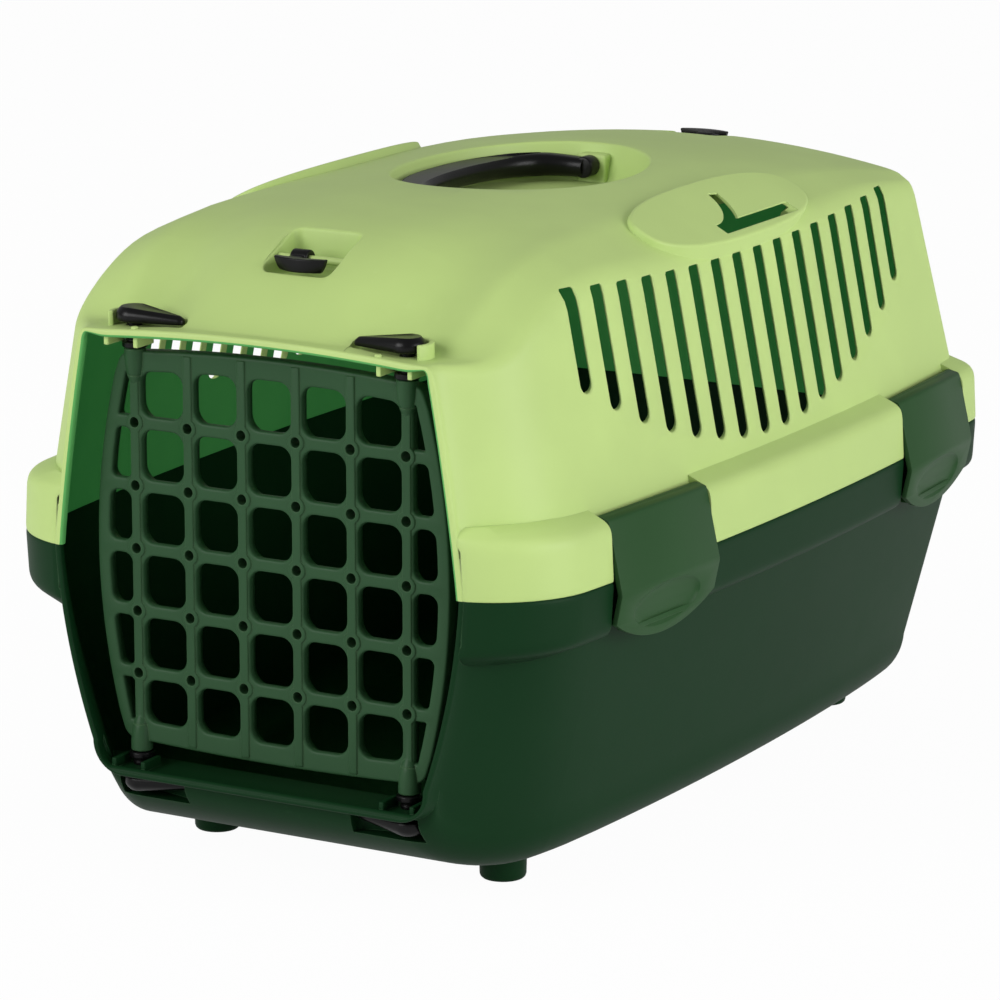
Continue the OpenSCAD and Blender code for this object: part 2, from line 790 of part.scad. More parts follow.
// Pin from the lever through its seat into the door; Z = 0 is the face of the seat on the lever's side
module pin(seat_t) {
    flange_top = -seat_t - clear - neck_len;
    tip = flange_top - flange_t - pin_tip;
    color(black)
    union() {
        translate([0, 0, -seat_t - clear - 0.5])
            cylinder(r = shaft_r, h = seat_t + clear + 0.5 + lever_gap + lever_bore);
        translate([0, 0, flange_top])
            cylinder(r = neck_r, h = neck_len);
        translate([0, 0, flange_top - flange_t])
            cylinder(r = flange_r, h = flange_t);
        intersection() {
            translate([0, 0, tip])
                cylinder(r = shaft_r, h = pin_tip + 0.5);
            translate([-pin_flat / 2, -pin_d, tip])
                cube([pin_flat, 2 * pin_d, pin_tip + 0.5]);
        }
    }
}
module at_top_latch(side) {
    at_latch(side)
        translate([0, 0, deck_z])
            children();
}
module at_bottom_latch(side) {
    at_latch(side)
        translate([0, 0, sill_z - sill_t])
            mirror([0, 0, 1])
                children();
}
module latch_lever_top_right() { at_top_latch(0) translate([0, 0, lever_gap]) lever(); }
module latch_lever_top_left() { at_top_latch(1) translate([0, 0, lever_gap]) lever(); }
module latch_lever_bottom_right() { at_bottom_latch(0) translate([0, 0, lever_gap]) lever(); }
module latch_lever_bottom_left() { at_bottom_latch(1) translate([0, 0, lever_gap]) lever(); }
module latch_pin_top_right() { at_top_latch(0) pin(deck_t); }
module latch_pin_top_left() { at_top_latch(1) pin(deck_t); }
module latch_pin_bottom_right() { at_bottom_latch(0) pin(sill_t); }
module latch_pin_bottom_left() { at_bottom_latch(1) pin(sill_t); }

// ---------------------------------------------------------------- door
bar_xs = [for (k = [-2.5:1:2.5]) k * bar_pitch_x];
bar_zs = [for (k = [-2:2]) door_mid_z + k * bar_pitch_z];
function door_side(z) = door_half_w - door_side_bow * pow((z - door_mid_z) / 92, 2);
function door_top_z(x) = door_top - door_top_bow * pow(x / 80, 2);
function door_bottom_z(x) = door_bottom + 0.6 * door_top_bow * pow(x / 80, 2);

// Points of a line of the door's outline or of a cell's edge, from one end to the other
function side_line(o, z0, z1, n = 6) = [for (k = [0:n]) let (z = lerp(z0, z1, k / n)) [door_side(z) - o, z]];
function top_line(o, x0, x1, n = 4) = [for (k = [0:n]) let (x = lerp(x0, x1, k / n)) [x, door_top_z(x) - o]];
function bottom_line(o, x0, x1, n = 4) = [for (k = [0:n]) let (x = lerp(x0, x1, k / n)) [x, door_bottom_z(x) + o]];

function door_outline() =
    let (x1 = door_side(door_top), x0 = door_side(door_bottom),
        top = top_line(0, -x1, x1, 10), bottom = bottom_line(0, x0, -x0, 10),
        right = side_line(0, door_top, door_bottom, 12),
        tr = arc_corner(top[9], [x1, door_top_z(x1)], right[1], door_edge_r, 4),
        br = arc_corner(right[11], [x0, door_bottom_z(x0)], bottom[1], door_edge_r, 4),
        half = concat([for (p = top) if (p.x >= 0 && p.x < tr[0].x - 1) p], tr,
            [for (p = right) if (p.y < tr[4].y - 1 && p.y > br[0].y + 1) p], br,
            [for (p = bottom) if (p.x >= 0 && p.x < br[4].x - 1) p]))
    concat(half, [for (p = reversed(half)) if (p.x > 0.01) [-p.x, p.y]]);

// Cells between two bars, between rows k and k + 1; the end rows follow the top and bottom edges
module middle_cell(x0, x1, k) {
    half = bar_w / 2;
    l = x0 + half;
    r = x1 - half;
    low = k < 0 ? bottom_line(end_border, l, r)[0] : [l, bar_zs[k] + half];
    low_r = k < 0 ? bottom_line(end_border, l, r)[4] : [r, bar_zs[k] + half];
    high = k > 3 ? top_line(end_border, l, r)[0] : [l, bar_zs[k + 1] - half];
    high_r = k > 3 ? top_line(end_border, l, r)[4] : [r, bar_zs[k + 1] - half];
    polygon(rounded([low, low_r, high_r, high], cell_r, 4));
}
// Cells between the last bar and the side border, which taper towards the top and the bottom
module side_cell(k) {
    half = bar_w / 2;
    l = bar_xs[5] + half;
    low = k < 0 ? door_bottom_z(l) + end_border : bar_zs[k] + half;
    high = k > 3 ? door_top_z(l) - end_border : bar_zs[k + 1] - half;
    low_r = door_side(low) - side_border;
    high_r = door_side(high) - side_border;
    r = min(cell_r, (min(low_r, high_r) - l) / 2.4);
    polygon(rounded([[l, low], [low_r, low], [door_side((low + high) / 2) - side_border, (low + high) / 2],
        [high_r, high], [l, high]], r, 3));
}
module door_cells() {
    for (k = [-1:4]) {
        for (i = [0:4])
            middle_cell(bar_xs[i], bar_xs[i + 1], k);
        for (side = [0, 1])
            mirror([side, 0])
                side_cell(k);
    }
}
module door_grille() {
    low_stub = lower_flange_z + clear;
    high_stub = upper_flange_z - clear;
    color(grille_green)
    difference() {
        union() {
            translate([0, door_front_y + door_t, 0])
                rotate([90, 0, 0])
                    linear_extrude(door_t)
                        difference() {
                            polygon(door_outline());
                            door_cells();
                            for (x = bar_xs, z = bar_zs)
                                translate([x, z])
                                    circle(d = node_hole_d);
                        }
            for (side = [0, 1])
                at_latch(side) {
                    translate([0, 0, low_stub])
                        cylinder(r = boss_r, h = boss_len);
                    translate([0, 0, high_stub - boss_len])
                        cylinder(r = boss_r, h = boss_len);
                }
        }
        for (side = [0, 1])
            at_latch(side) {
                translate([0, 0, low_stub - through])
                    cylinder(r = boss_bore_r, h = through + pin_tip + 1);
                translate([0, 0, high_stub - pin_tip - 1])
                    cylinder(r = boss_bore_r, h = through + pin_tip + 1);
            }
        at_latch(0) {
            slot_w = pin_flat + 2 * slot_clear;
            translate([-slot_w / 2, 0, low_stub - through])
                cube([slot_w, 2 * boss_r + door_t, through + pin_tip + 1]);
            translate([-slot_w / 2, 0, high_stub - pin_tip - 1])
                cube([slot_w, 2 * boss_r + door_t, through + pin_tip + 1]);
        }
    }
}

// ---------------------------------------------------------------- clips
// Half profile of the clip's outer face, X out of the rim and Y up
clip_face = [[-hub_in, hub_z + hub_r], [-4.6, hub_z + 1.6], [-3.6, hub_z + 0.8],
    [clip_proud, part_z - 6], [clip_proud - 2.8, part_z - 19], [clip_proud - 5, part_z - 32]];
tab_rise = 12;
module clip_profile() {
    inner = [for (k = [5:-1:2]) clip_face[k] - [clip_t, k == 2 ? clip_t : 0]];
    polygon(concat(clip_face, inner, [[-hub_in, hub_z - hub_r * 0.4]]));
}
// Outline of the clip seen from its side of the body: straight above, an arc below
module clip_outline() {
    low = clip_face[5].y;
    arc_r = (pow(clip_w / 2, 2) + pow(tab_rise, 2)) / (2 * tab_rise);
    translate([-clip_w / 2, low + tab_rise])
        square([clip_w, hub_z + hub_r - low]);
    intersection() {
        translate([0, low + arc_r])
            circle(r = arc_r, $fn = 96);
        translate([-clip_w / 2, low - 1])
            square([clip_w, tab_rise + 1]);
    }
}
module clip_pad() {
    pad_top = part_z - 8;
    along = concat(
        [[-pad_w / 2, pad_top], [pad_w / 2, pad_top]],
        [for (a = [-10:-20:-170]) [pad_w / 2 * cos(a), pad_top - pad_h * 0.15 + pad_h * 0.85 * sin(a)]]
    );
    intersection() {
        rotate([90, 0, 90])
            linear_extrude(2 * clip_proud, center = true)
                polygon(along);
        rotate([90, 0, 0])
            linear_extrude(clip_w, center = true)
                polygon(concat([for (k = [3:5]) clip_face[k] - [pad_depth, 0]],
                    [[3 * clip_proud, clip_face[5].y], [3 * clip_proud, part_z]]));
    }
}
module clip() {
    color(dark_green)
    difference() {
        union() {
            intersection() {
                rotate([90, 0, 0])
                    linear_extrude(clip_w, center = true)
                        clip_profile();
                translate([-2 * rim_out, 0, 0])
                    rotate([90, 0, 90])
                        linear_extrude(4 * rim_out)
                            clip_outline();
            }
            translate([-hub_in, 0, hub_z])
                rotate([90, 0, 0]) {
                    cylinder(r = hub_r, h = clip_w, center = true);
                    cylinder(r = peg_r, h = notch_w + 2 * peg_len, center = true);
                }
            translate([clear - catch_in, -catch_w / 2, catch_z - clear - catch_t])
                cube([catch_in - clear, catch_w, catch_t]);
        }
        clip_pad();
    }
}
module clip_front_right() { at_clip(1, clip_ys[0]) clip(); }
module clip_rear_right() { at_clip(1, clip_ys[1]) clip(); }
module clip_front_left() { at_clip(-1, clip_ys[0]) clip(); }
module clip_rear_left() { at_clip(-1, clip_ys[1]) clip(); }

// ---------------------------------------------------------------- carry handle
handle_power = 2.6;
function handle_point(a) = [-handle_reach * pow(sin(a), 2 / handle_power),
    (handle_half + handle_hub_l / 2 - arm_d / 2) * pow(cos(a), 2 / handle_power)];
module carry_handle() {
    steps = [0, 6, 14, 24, 34, 44, 54, 64, 74, 83, 90];
    half = [for (a = steps) handle_point(a)];
    path = concat(half, [for (k = [len(steps) - 2:-1:0]) [half[k].x, -half[k].y]]);
    last = len(path) - 1;
    rings = [for (k = [0:last]) let (
            p = path[k],
            d = k == 0 ? [-1, 0] : k == last ? [1, 0] : path[k + 1] - path[k - 1],
            side = [d.y, -d.x] / norm(d),
            grip = pow(clamp01((abs(p.x) / handle_reach - 0.55) / 0.4), 1.5),
            w = lerp(arm_d, grip_w, grip) / 2,
            h = arm_d / 2
        ) [for (a = [345:-30:15]) let (c = [w * cos(a), min(h * sin(a), h * 0.86)])
            [p.x + side.x * c.x, handle_y + p.y + side.y * c.x, handle_z + c.y]]];
    n = 12;
    color(black)
    union() {
        polyhedron(
            points = [for (ring = rings) each ring],
            faces = concat(
                [[for (i = [0:n - 1]) i], [for (i = [n - 1:-1:0]) i + last * n]],
                [for (j = [0:last - 1], i = [0:n - 1]) let (a = j * n + i, b = j * n + (i + 1) % n)
                    each [[a, a + n, b + n], [a, b + n, b]]]
            )
        );
        for (end = [0, 1])
            translate([0, handle_y, handle_z])
                mirror([0, end, 0])
                    rotate([-90, 0, 0]) {
                        translate([0, 0, handle_half - handle_hub_l / 2])
                            cylinder(r = arm_d / 2, h = handle_hub_l);
                        translate([0, 0, handle_half])
                            cylinder(r = handle_peg_r, h = handle_hub_l / 2 + handle_peg_l);
                    }
    }
}

// ---------------------------------------------------------------- strap eyes
// Flattened D-ring on its barrel; the barrel lies on X at the origin and the ring reaches towards -Y
module strap_eye() {
    eye_half = eye_ring_w / 2;
    reach = eye_ring_len;
    color(black)
    difference() {
        union() {
            translate([-eye_barrel_l / 2 - eye_shift, 0, 0])
                rotate([0, 90, 0])
                    cylinder(r = eye_hub_r, h = eye_barrel_l);
            translate([-eye_half, 0, 0])
                rotate([0, 90, 0])
                    cylinder(r = eye_rod_r, h = eye_ring_w);
            translate([0, 0, -eye_t / 2])
                linear_extrude(eye_t)
                    difference() {
                        polygon(concat(
                            arc_corner([-eye_half, 0], [-eye_half, -reach], [0, -reach], eye_ring_r, 6),
                            arc_corner([0, -reach], [eye_half, -reach], [eye_half, 0], eye_ring_r, 6),
                            [[eye_half, 0], [-eye_half, 0]]
                        ));
                        translate([-eye_half + eye_ring_r, -eye_gap - eye_hub_r])
                            square([eye_ring_w - 2 * eye_ring_r, eye_gap]);
                    }
        }
        translate([-eye_half - 1, 0, 0])
            rotate([0, 90, 0])
                cylinder(r = eye_axle_r + clear, h = eye_ring_w + 2);
    }
}
module strap_eye_front() {
    translate([0, eye_front_y, eye_z(eye_front_y)])
        strap_eye();
}
module strap_eye_rear() {
    translate([0, eye_rear_y, eye_z(eye_rear_y)])
        rotate([0, 0, 180])
            strap_eye();
}

lower_shell();
upper_shell();
door_grille();
latch_lever_top_left();
latch_lever_top_right();
latch_lever_bottom_left();
latch_lever_bottom_right();
latch_pin_top_left();
latch_pin_top_right();
latch_pin_bottom_left();
latch_pin_bottom_right();
clip_front_right();
clip_rear_right();
clip_front_left();
clip_rear_left();
carry_handle();
strap_eye_front();
strap_eye_rear();
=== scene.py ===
"""Looks of a pet transport carrier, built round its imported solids."""

import logging
import math
from collections.abc import Callable, Sequence
from dataclasses import dataclass, field
from enum import Enum

import bpy
from mathutils import Matrix, Vector


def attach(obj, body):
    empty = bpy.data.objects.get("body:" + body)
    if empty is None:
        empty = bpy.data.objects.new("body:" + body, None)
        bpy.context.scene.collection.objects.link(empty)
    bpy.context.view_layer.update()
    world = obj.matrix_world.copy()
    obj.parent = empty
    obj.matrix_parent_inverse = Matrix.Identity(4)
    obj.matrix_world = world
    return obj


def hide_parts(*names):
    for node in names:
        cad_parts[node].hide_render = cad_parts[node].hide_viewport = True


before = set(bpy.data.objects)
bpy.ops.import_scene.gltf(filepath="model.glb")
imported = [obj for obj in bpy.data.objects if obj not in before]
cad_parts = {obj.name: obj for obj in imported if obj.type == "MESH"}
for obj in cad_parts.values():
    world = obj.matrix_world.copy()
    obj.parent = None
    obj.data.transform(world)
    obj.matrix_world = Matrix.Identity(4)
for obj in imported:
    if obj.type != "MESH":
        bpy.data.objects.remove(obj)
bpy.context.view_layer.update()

MM = 0.001
ABOVE = 330.0
OUTSIDE, INSIDE = "outside", "inside"
MIRROR = Matrix.Diagonal((-1, 1, 1, 1))
LOG = logging.getLogger("pet_carrier")

Point = tuple[float, float, float]
Plan = list[tuple[float, float]]


def lerp(a: float, b: float, t: float) -> float:
    """Value between a and b at share t."""
    return a + (b - a) * t


def rise(y: float, start: float, length: float, power: float) -> float:
    """Smooth rise from 0 at start towards 1."""
    return 0.0 if y <= start else 1 - math.exp(-(((y - start) / length) ** power))


def quarter(step: float) -> list[float]:
    """Angles of a quarter turn from 90 degrees down to 0, in steps of that many degrees."""
    return [math.radians(90 - step * k) for k in range(round(90 / step) + 1)]


def corner(d: float, r: float) -> float:
    """Setback of a corner rounded with radius r, at distance d from its end."""
    return 0.0 if d >= r else r - math.sqrt(max(0.0, r * r - (r - max(0.0, d)) ** 2))


def bend(a: Sequence[float], b: Sequence[float], c: Sequence[float], steps: int) -> list[tuple]:
    """Points of a quadratic curve from a to c that is drawn towards b, with both ends.

    Args:
        a: first end.
        b: point that draws the curve.
        c: last end.
        steps: number of pieces.

    Returns:
        The points.
    """
    out = []
    for k in range(steps + 1):
        t = k / steps
        out.append(tuple(lerp(lerp(p, q, t), lerp(q, r, t), t) for p, q, r in zip(a, b, c)))
    return out


# ------------------------------------------------------------------ modelling
class Bench:
    """Modelling operators, wrapped for use without a window. Pieces are modelled in millimetres."""

    @staticmethod
    def clear() -> None:
        """Deselects every object."""
        bpy.ops.object.select_all(action="DESELECT")

    @staticmethod
    def take(obj: bpy.types.Object) -> bpy.types.Object:
        """Makes obj the only selected and the active object.

        Args:
            obj: the object.

        Returns:
            The same object.
        """
        Bench.clear()
        obj.select_set(True)
        bpy.context.view_layer.objects.active = obj
        return obj

    @staticmethod
    def loft(rings: Sequence[Sequence[Point]]) -> bpy.types.Object:
        """Closed skin through rings of equal length.

        Args:
            rings: the cross-sections in order, each one a closed loop of points.

        Returns:
            A closed object with both ends capped.
        """
        columns, rows = len(rings[0]), len(rings)
        Bench.clear()
        bpy.ops.mesh.primitive_grid_add(x_subdivisions=columns, y_subdivisions=rows - 1)
        obj = bpy.context.object
        flat = [c for ring in rings for p in (*ring, ring[0]) for c in p]
        obj.data.vertices.foreach_set("co", flat)
        return Bench.close(obj, capped=True)

    @staticmethod
    def close(obj: bpy.types.Object, capped: bool = False) -> bpy.types.Object:
        """Merges doubled points and turns the faces outwards.

        Args:
            obj: the piece that is active and in object mode.
            capped: true where open ends are filled too.

        Returns:
            The same piece.
        """
        bpy.ops.object.mode_set(mode="EDIT")
        bpy.ops.mesh.select_all(action="SELECT")
        bpy.ops.mesh.remove_doubles(threshold=0.0005)
        if capped:
            bpy.ops.mesh.fill_holes(sides=0)
            bpy.ops.mesh.select_all(action="SELECT")
        bpy.ops.mesh.normals_make_consistent(inside=False)
        bpy.ops.object.mode_set(mode="OBJECT")
        return obj

    @staticmethod
    def block(low: Point, high: Point, bevel: float = 0.0) -> bpy.types.Object:
        """Box between two corners, with its edges rounded where bevel is above 0.

        Args:
            low: lowest corner.
            high: highest corner.
            bevel: radius of the edges.

        Returns:
            The box.
        """
        Bench.clear()
        bpy.ops.mesh.primitive_cube_add(size=1)
        obj = bpy.context.object
        size = Vector(high) - Vector(low)
        obj.data.transform(Matrix.Translation((Vector(high) + Vector(low)) / 2) @ Matrix.Diagonal((*size, 1)))
        if bevel > 0:
            Bench.bevel(obj, bevel)
        return obj

    @staticmethod
    def rod(start: Point, end: Point, radius: float, sides: int = 48, bevel: float = 0.0) -> bpy.types.Object:
        """Round bar from start to end.

        Args:
            start: middle of one end.
            end: middle of the other end.
            radius: its radius.
            sides: sides of its section.
            bevel: radius of its end edges.

        Returns:
            The bar.
        """
        a, b = Vector(start), Vector(end)
        Bench.clear()
        bpy.ops.mesh.primitive_cylinder_add(vertices=sides, radius=radius, depth=(b - a).length)
        obj = bpy.context.object
        turn = (b - a).to_track_quat("Z", "Y").to_matrix().to_4x4()
        obj.data.transform(Matrix.Translation((a + b) / 2) @ turn)
        if bevel > 0:
            Bench.bevel(obj, bevel, limit=60)
        return obj

    @staticmethod
    def prism(plan: Plan, low: float, high: float, bevel: float = 0.0) -> bpy.types.Object:
        """Upright solid over a closed plan, from height low to height high.

        Args:
            plan: closed plan.
            low: height of the foot.
            high: height of the top.
            bevel: radius of the edges.

        Returns:
            The solid.
        """
        obj = Bench.loft([[(x, y, z) for x, y in plan] for z in (low, high)])
        if bevel > 0:
            Bench.bevel(obj, bevel)
        return obj

    @staticmethod
    def bevel(obj: bpy.types.Object, width: float, segments: int = 3, limit: float = 40.0) -> bpy.types.Object:
        """Rounds the edges of obj that are sharper than limit degrees.

        Args:
            obj: the piece.
            width: radius.
            segments: steps of the rounding.
            limit: angle in degrees.

        Returns:
            The same piece.
        """
        mod = obj.modifiers.new("round", "BEVEL")
        mod.width = width
        mod.segments = segments
        mod.limit_method = "ANGLE"
        mod.angle_limit = math.radians(limit)
        mod.use_clamp_overlap = True
        return Bench.apply(obj, mod)

    @staticmethod
    def apply(obj: bpy.types.Object, mod: bpy.types.Modifier) -> bpy.types.Object:
        """Applies one modifier.

        Args:
            obj: the piece.
            mod: a modifier on it.

        Returns:
            The same piece.
        """
        Bench.take(obj)
        bpy.ops.object.modifier_apply(modifier=mod.name)
        return obj

    @staticmethod
    def combine(obj: bpy.types.Object, tools: Sequence[bpy.types.Object], how: str) -> bpy.types.Object:
        """Joins, cuts or trims obj with each tool in turn, and removes the tools.

        Args:
            obj: the piece that is changed.
            tools: closed solids.
            how: UNION, DIFFERENCE or INTERSECT.

        Returns:
            The changed piece.
        """
        group = bpy.data.collections.new("tools")
        for tool in tools:
            group.objects.link(tool)
        for part in (obj, *tools):
            if not part.data.materials:
                part.data.materials.append(bpy.data.materials.get(OUTSIDE) or bpy.data.materials.new(OUTSIDE))
        mod = obj.modifiers.new("combine", "BOOLEAN")
        mod.solver = "MANIFOLD"
        mod.operation = how
        mod.operand_type = "COLLECTION"
        mod.collection = group
        mod.material_mode = "TRANSFER"
        Bench.apply(obj, mod)
        for tool in tools:
            bpy.data.objects.remove(tool)
        bpy.data.collections.remove(group)
        return obj

    @staticmethod
    def lined(obj: bpy.types.Object) -> bpy.types.Object:
        """Marks a hollow's faces, so that the inside of the shell gets its own finish, which paints shade and a glow
        onto it.
        """
        obj.data.materials.append(bpy.data.materials.get(INSIDE) or bpy.data.materials.new(INSIDE))
        return obj

    @staticmethod
    def twin(obj: bpy.types.Object, matrix: Matrix) -> bpy.types.Object:
        """Copy of obj with its own mesh, moved by matrix; a mirrored copy keeps its faces outwards.

        Args:
            obj: the piece to copy.
            matrix: where the copy goes.

        Returns:
            The copy.
        """
        copy = obj.copy()
        copy.data = obj.data.copy()
        bpy.context.scene.collection.objects.link(copy)
        copy.data.transform(matrix)
        if matrix.determinant() < 0:
            copy.data.flip_normals()
        return copy


# ------------------------------------------------------------------ form of the body
@dataclass(frozen=True)
class Form:
    """Outer form of the body in millimetres, which both shells, the rim and the seats follow."""

    front: float = -240.0
    back: float = 240.0
    half_w: float = 160.0
    part: float = 156.0
    roof_top: float = 308.2
    wall: float = 2.6
    side_bow: float = 13.2
    widest: float = 29.0
    rear_bow: float = 6.0
    corner_r: float = 17.0
    rim_out: float = 14.0
    rear_out: float = 8.0
    rim_up: float = 27.5
    rim_down: float = 30.0
    rim_low: float = 26.0
    shelf_rise: float = 4.0
    rim_front_r: float = 45.0
    rim_rear_r: float = 20.0
    lean_up: float = 0.2
    rear_lean_up: float = 0.16
    lean_low: float = 0.215
    rear_lean_low: float = 0.185
    ledge: float = 263.3
    ledge_arch: float = 0.0005
    ledge_len: float = 7.0
    brow_len: float = 37.0
    brow_power: float = 1.32
    swell_len: float = 20.0
    swell_growth: float = 0.14
    swell_power: float = 1.6
    roof_crown: float = 9.0
    crease_x: float = 95.0
    front_crease_x: float = 80.0
    rear_fall: float = 15.5
    rear_edge_r: float = 16.0
    collar: float = 109.0
    vent_top: float = 280.5
    vent_arch: float = 6.5
    lip: float = 4.0
    lip_round: float = 1.3
    floor: float = 16.0
    floor_r: float = 22.0
    sill: float = 52.0
    sill_t: float = 3.0
    sill_r: float = 16.0
    chin: float = 62.0
    latch_x: float = 72.25
    scallop: float = 20.0
    scallop_w: float = 25.0

    @property
    def wall_back(self) -> float:
        """Place of the back wall along Y."""
        return self.back - self.rear_out

    @property
    def shelf(self) -> float:
        """Height where the upper rim's shelf meets the wall."""
        return self.part + self.rim_up + self.shelf_rise

    @property
    def low_shelf(self) -> float:
        """Height where the lower rim's shelf meets the wall."""
        return self.part - self.rim_down - self.shelf_rise

    def half_side(self, y: float) -> float:
        """Half width of the rim at y."""
        return self.half_w - self.side_bow * ((y - self.widest) / self.back) ** 2

    def side_angle(self, y: float) -> float:
        """Angle of the rim's side at y to the length of the body."""
        return math.atan(-2 * self.side_bow * (y - self.widest) / self.back**2)

    def bowed(self, x: float, y: float) -> float:
        """Place along Y after the back is bowed."""
        return y - self.rear_bow * (x / self.half_w) ** 2 * (max(0.0, y) / self.back) ** 3

    def swell(self, y: float, z: float) -> float:
        """Share by which the section has widened from the collar to the sides."""
        return rise(y, self.front + 2, self.swell_len + self.swell_growth * max(0.0, self.part - z), self.swell_power)

    def brow(self, x: float, y: float) -> float:
        """Share by which the forehead has risen from the ledge to the roof."""
        scoop = self.scallop * math.exp(-(((abs(x) - self.latch_x) / self.scallop_w) ** 2))
        return rise(y, self.front + self.ledge_len + scoop, self.brow_len, self.brow_power)

    def roof(self, x: float, y: float) -> float:
        """Height of the roof and the forehead.

        Args:
            x: place across.
            y: place along.

        Returns:
            The height.
        """
        fall = self.rear_fall * (max(0.0, y - 22) / (self.back - 22)) ** 2
        top = self.roof_top - self.roof_crown * (x / 100) ** 2 - fall
        return lerp(self.ledge - self.ledge_arch * x**2, top, self.brow(x, y))

    def vent_line(self, y: float) -> float:
        """Height of the top of the vents."""
        return self.vent_top + self.vent_arch * (y / self.half_w) ** 2

    def shoulder(self, y: float) -> float:
        """Height of the shoulder, which stays under the falling roof towards the back.

        Args:
            y: place along.

        Returns:
            The height.
        """
        line, under, blend = self.vent_line(y) + 2.5, self.roof(self.crease_x + 12, y) - 7, 6.0
        gap = max(0.0, blend - abs(line - under)) / blend
        return min(line, under) - gap * gap * blend / 4

    def upper_x(self, y: float, z: float, inset: float) -> float:
        """Half width of the upper wall.

        Args:
            y: place along.
            z: height.
            inset: how far the back is set in.

        Returns:
            The half width.
        """
        up = z - self.part
        collar = self.collar - 0.11 * up - 0.0004 * up**2
        side = self.half_side(y) - self.rim_out - self.lean_up * (z - self.shelf)
        return lerp(collar, side, self.swell(y, z)) - corner(self.wall_back - inset - y, self.corner_r - inset)

    def lower_x(self, y: float, z: float, inset: float) -> float:
        """Half width of the tub's wall.

        Args:
            y: place along.
            z: height.
            inset: how far the back is set in.

        Returns:
            The half width.
        """
        down = self.part - z
        collar = self.collar - 0.06 * down - 0.00162 * down**2
        side = self.half_side(y) - self.rim_out - self.lean_low * (self.low_shelf - z)
        return lerp(collar, side, self.swell(y, z)) - corner(self.wall_back - inset - y, self.corner_r - inset)

    def lean_above(self, y: float, z: float) -> float:
        """Place along Y after the upper shell's back leans in."""
        return y - self.rear_lean_up * (z - self.shelf) * max(0.0, y) ** 4 * (1 / self.wall_back**4)

    def lean_below(self, y: float, z: float) -> float:
        """Place along Y after the tub's back leans in."""
        return y - self.rear_lean_low * (self.low_shelf - z) * max(0.0, y) ** 4 * (1 / self.wall_back**4)

    def skin(self, y: float, front: float) -> float:
        """Thickness of the sheet, which is thicker round the doorway."""
        return lerp(front, self.wall, self.swell(y, self.part))

    def placed(self, points: Sequence[Point], y: float, skin: float, lean: Callable[[float, float], float],
               base: float, up: int) -> list[Point]:
        """Sets a half section in by the skin, leans it and bows it.

        Args:
            points: x, z and the share of the skin that acts on z.
            y: place of the section.
            skin: how far the section is set in.
            lean: place along Y of a point at y and z.
            base: height of the first point.
            up: -1 where the section opens downwards, 1 where it opens upwards.

        Returns:
            The half section, from the parting plane to the middle.
        """
        out = []
        for i, (x, level, share) in enumerate(points):
            z = base if i == 0 else level + up * skin * share
            out.append((x - (skin * (1 - share) if x > 0 else 0), self.bowed(x, lean(y, z)), z))
        return out

    def upper_section(self, y: float, skin: float, inset: float, base: float) -> list[Point]:
        """Half section of the upper shell, from the parting plane over the shoulder to the middle.

        Args:
            y: place along.
            skin: how far the section is set in.
            inset: how far the back is set in.
            base: height of the first point.

        Returns:
            The half section.
        """
        drop = corner(self.wall_back - inset - y, self.rear_edge_r)
        cz = lerp(self.ledge - 3.5, self.shoulder(y), self.brow(self.half_w, y)) - drop
        cx = self.upper_x(y, cz, inset)
        kx = min(lerp(self.front_crease_x, self.crease_x + 18 * (max(0.0, y) / self.back) ** 2,
                      self.brow(self.half_w, y)), cx - 6)
        kz = min(self.roof(kx, y) - drop, cz + 26)
        wall = [(self.upper_x(y, z, inset), z, 0.0) for z in (lerp(self.part, cz, 0.93 * k / 13) for k in range(14))]
        knee = (lerp(cx, kx, 0.3), lerp(cz, kz, 0.3), 0.6)
        fold = (kx, kz, 1.0)
        slope = [tuple(lerp(a, b, f) for a, b in zip(knee, fold)) for f in (0.25, 0.5, 0.75)]
        inwards = (0.93, 0.85, 0.77, 0.68, 0.6, 0.5, 0.4, 0.3, 0.2, 0.1, 0)
        on_roof = [(kx * f, self.roof(kx * f, y) - drop, 1.0) for f in inwards]
        points = wall + bend(wall[-1], (cx, cz, 0.3), knee, 8)[1:] + slope[:-1]
        points += bend(slope[-1], fold, on_roof[0], 5) + on_roof[1:]
        return self.placed(points, y, skin, self.lean_above, base, -1)

    def lower_section(self, y: float, skin: float, inset: float, base: float) -> list[Point]:
        """Half section of the tub, from the parting plane down round the floor's edge to the middle.

        Args:
            y: place along.
            skin: how far the section is set in.
            inset: how far the back is set in.
            base: height of the first point.

        Returns:
            The half section.
        """
        start, low = self.front + 8, self.sill - self.sill_t
        keel = low if y <= start else self.floor
        if start < y < start + self.chin:
            keel = low - (low - self.floor) * math.sqrt(1 - ((start + self.chin - y) / self.chin) ** 2)
        keel += corner(self.wall_back - inset - y, self.floor_r)
        r = lerp(self.sill_r, self.floor_r, self.swell(y, self.floor))
        ex = self.lower_x(y, keel + r, inset)
        wall = [(self.lower_x(y, z, inset), z, 0.0) for z in (lerp(self.part, keel + r, k / 14) for k in range(14))]
        turn = [math.radians(90 * k / 12) for k in range(13)]
        edge = [(ex - r + r * math.cos(a), keel + r - r * math.sin(a), a / math.radians(90)) for a in turn]
        flat = [((ex - r) * f, keel, 1.0) for f in (0.85, 0.7, 0.55, 0.4, 0.25, 0.12, 0)]
        return self.placed(wall + edge + flat, y, skin, self.lean_below, base, 1)

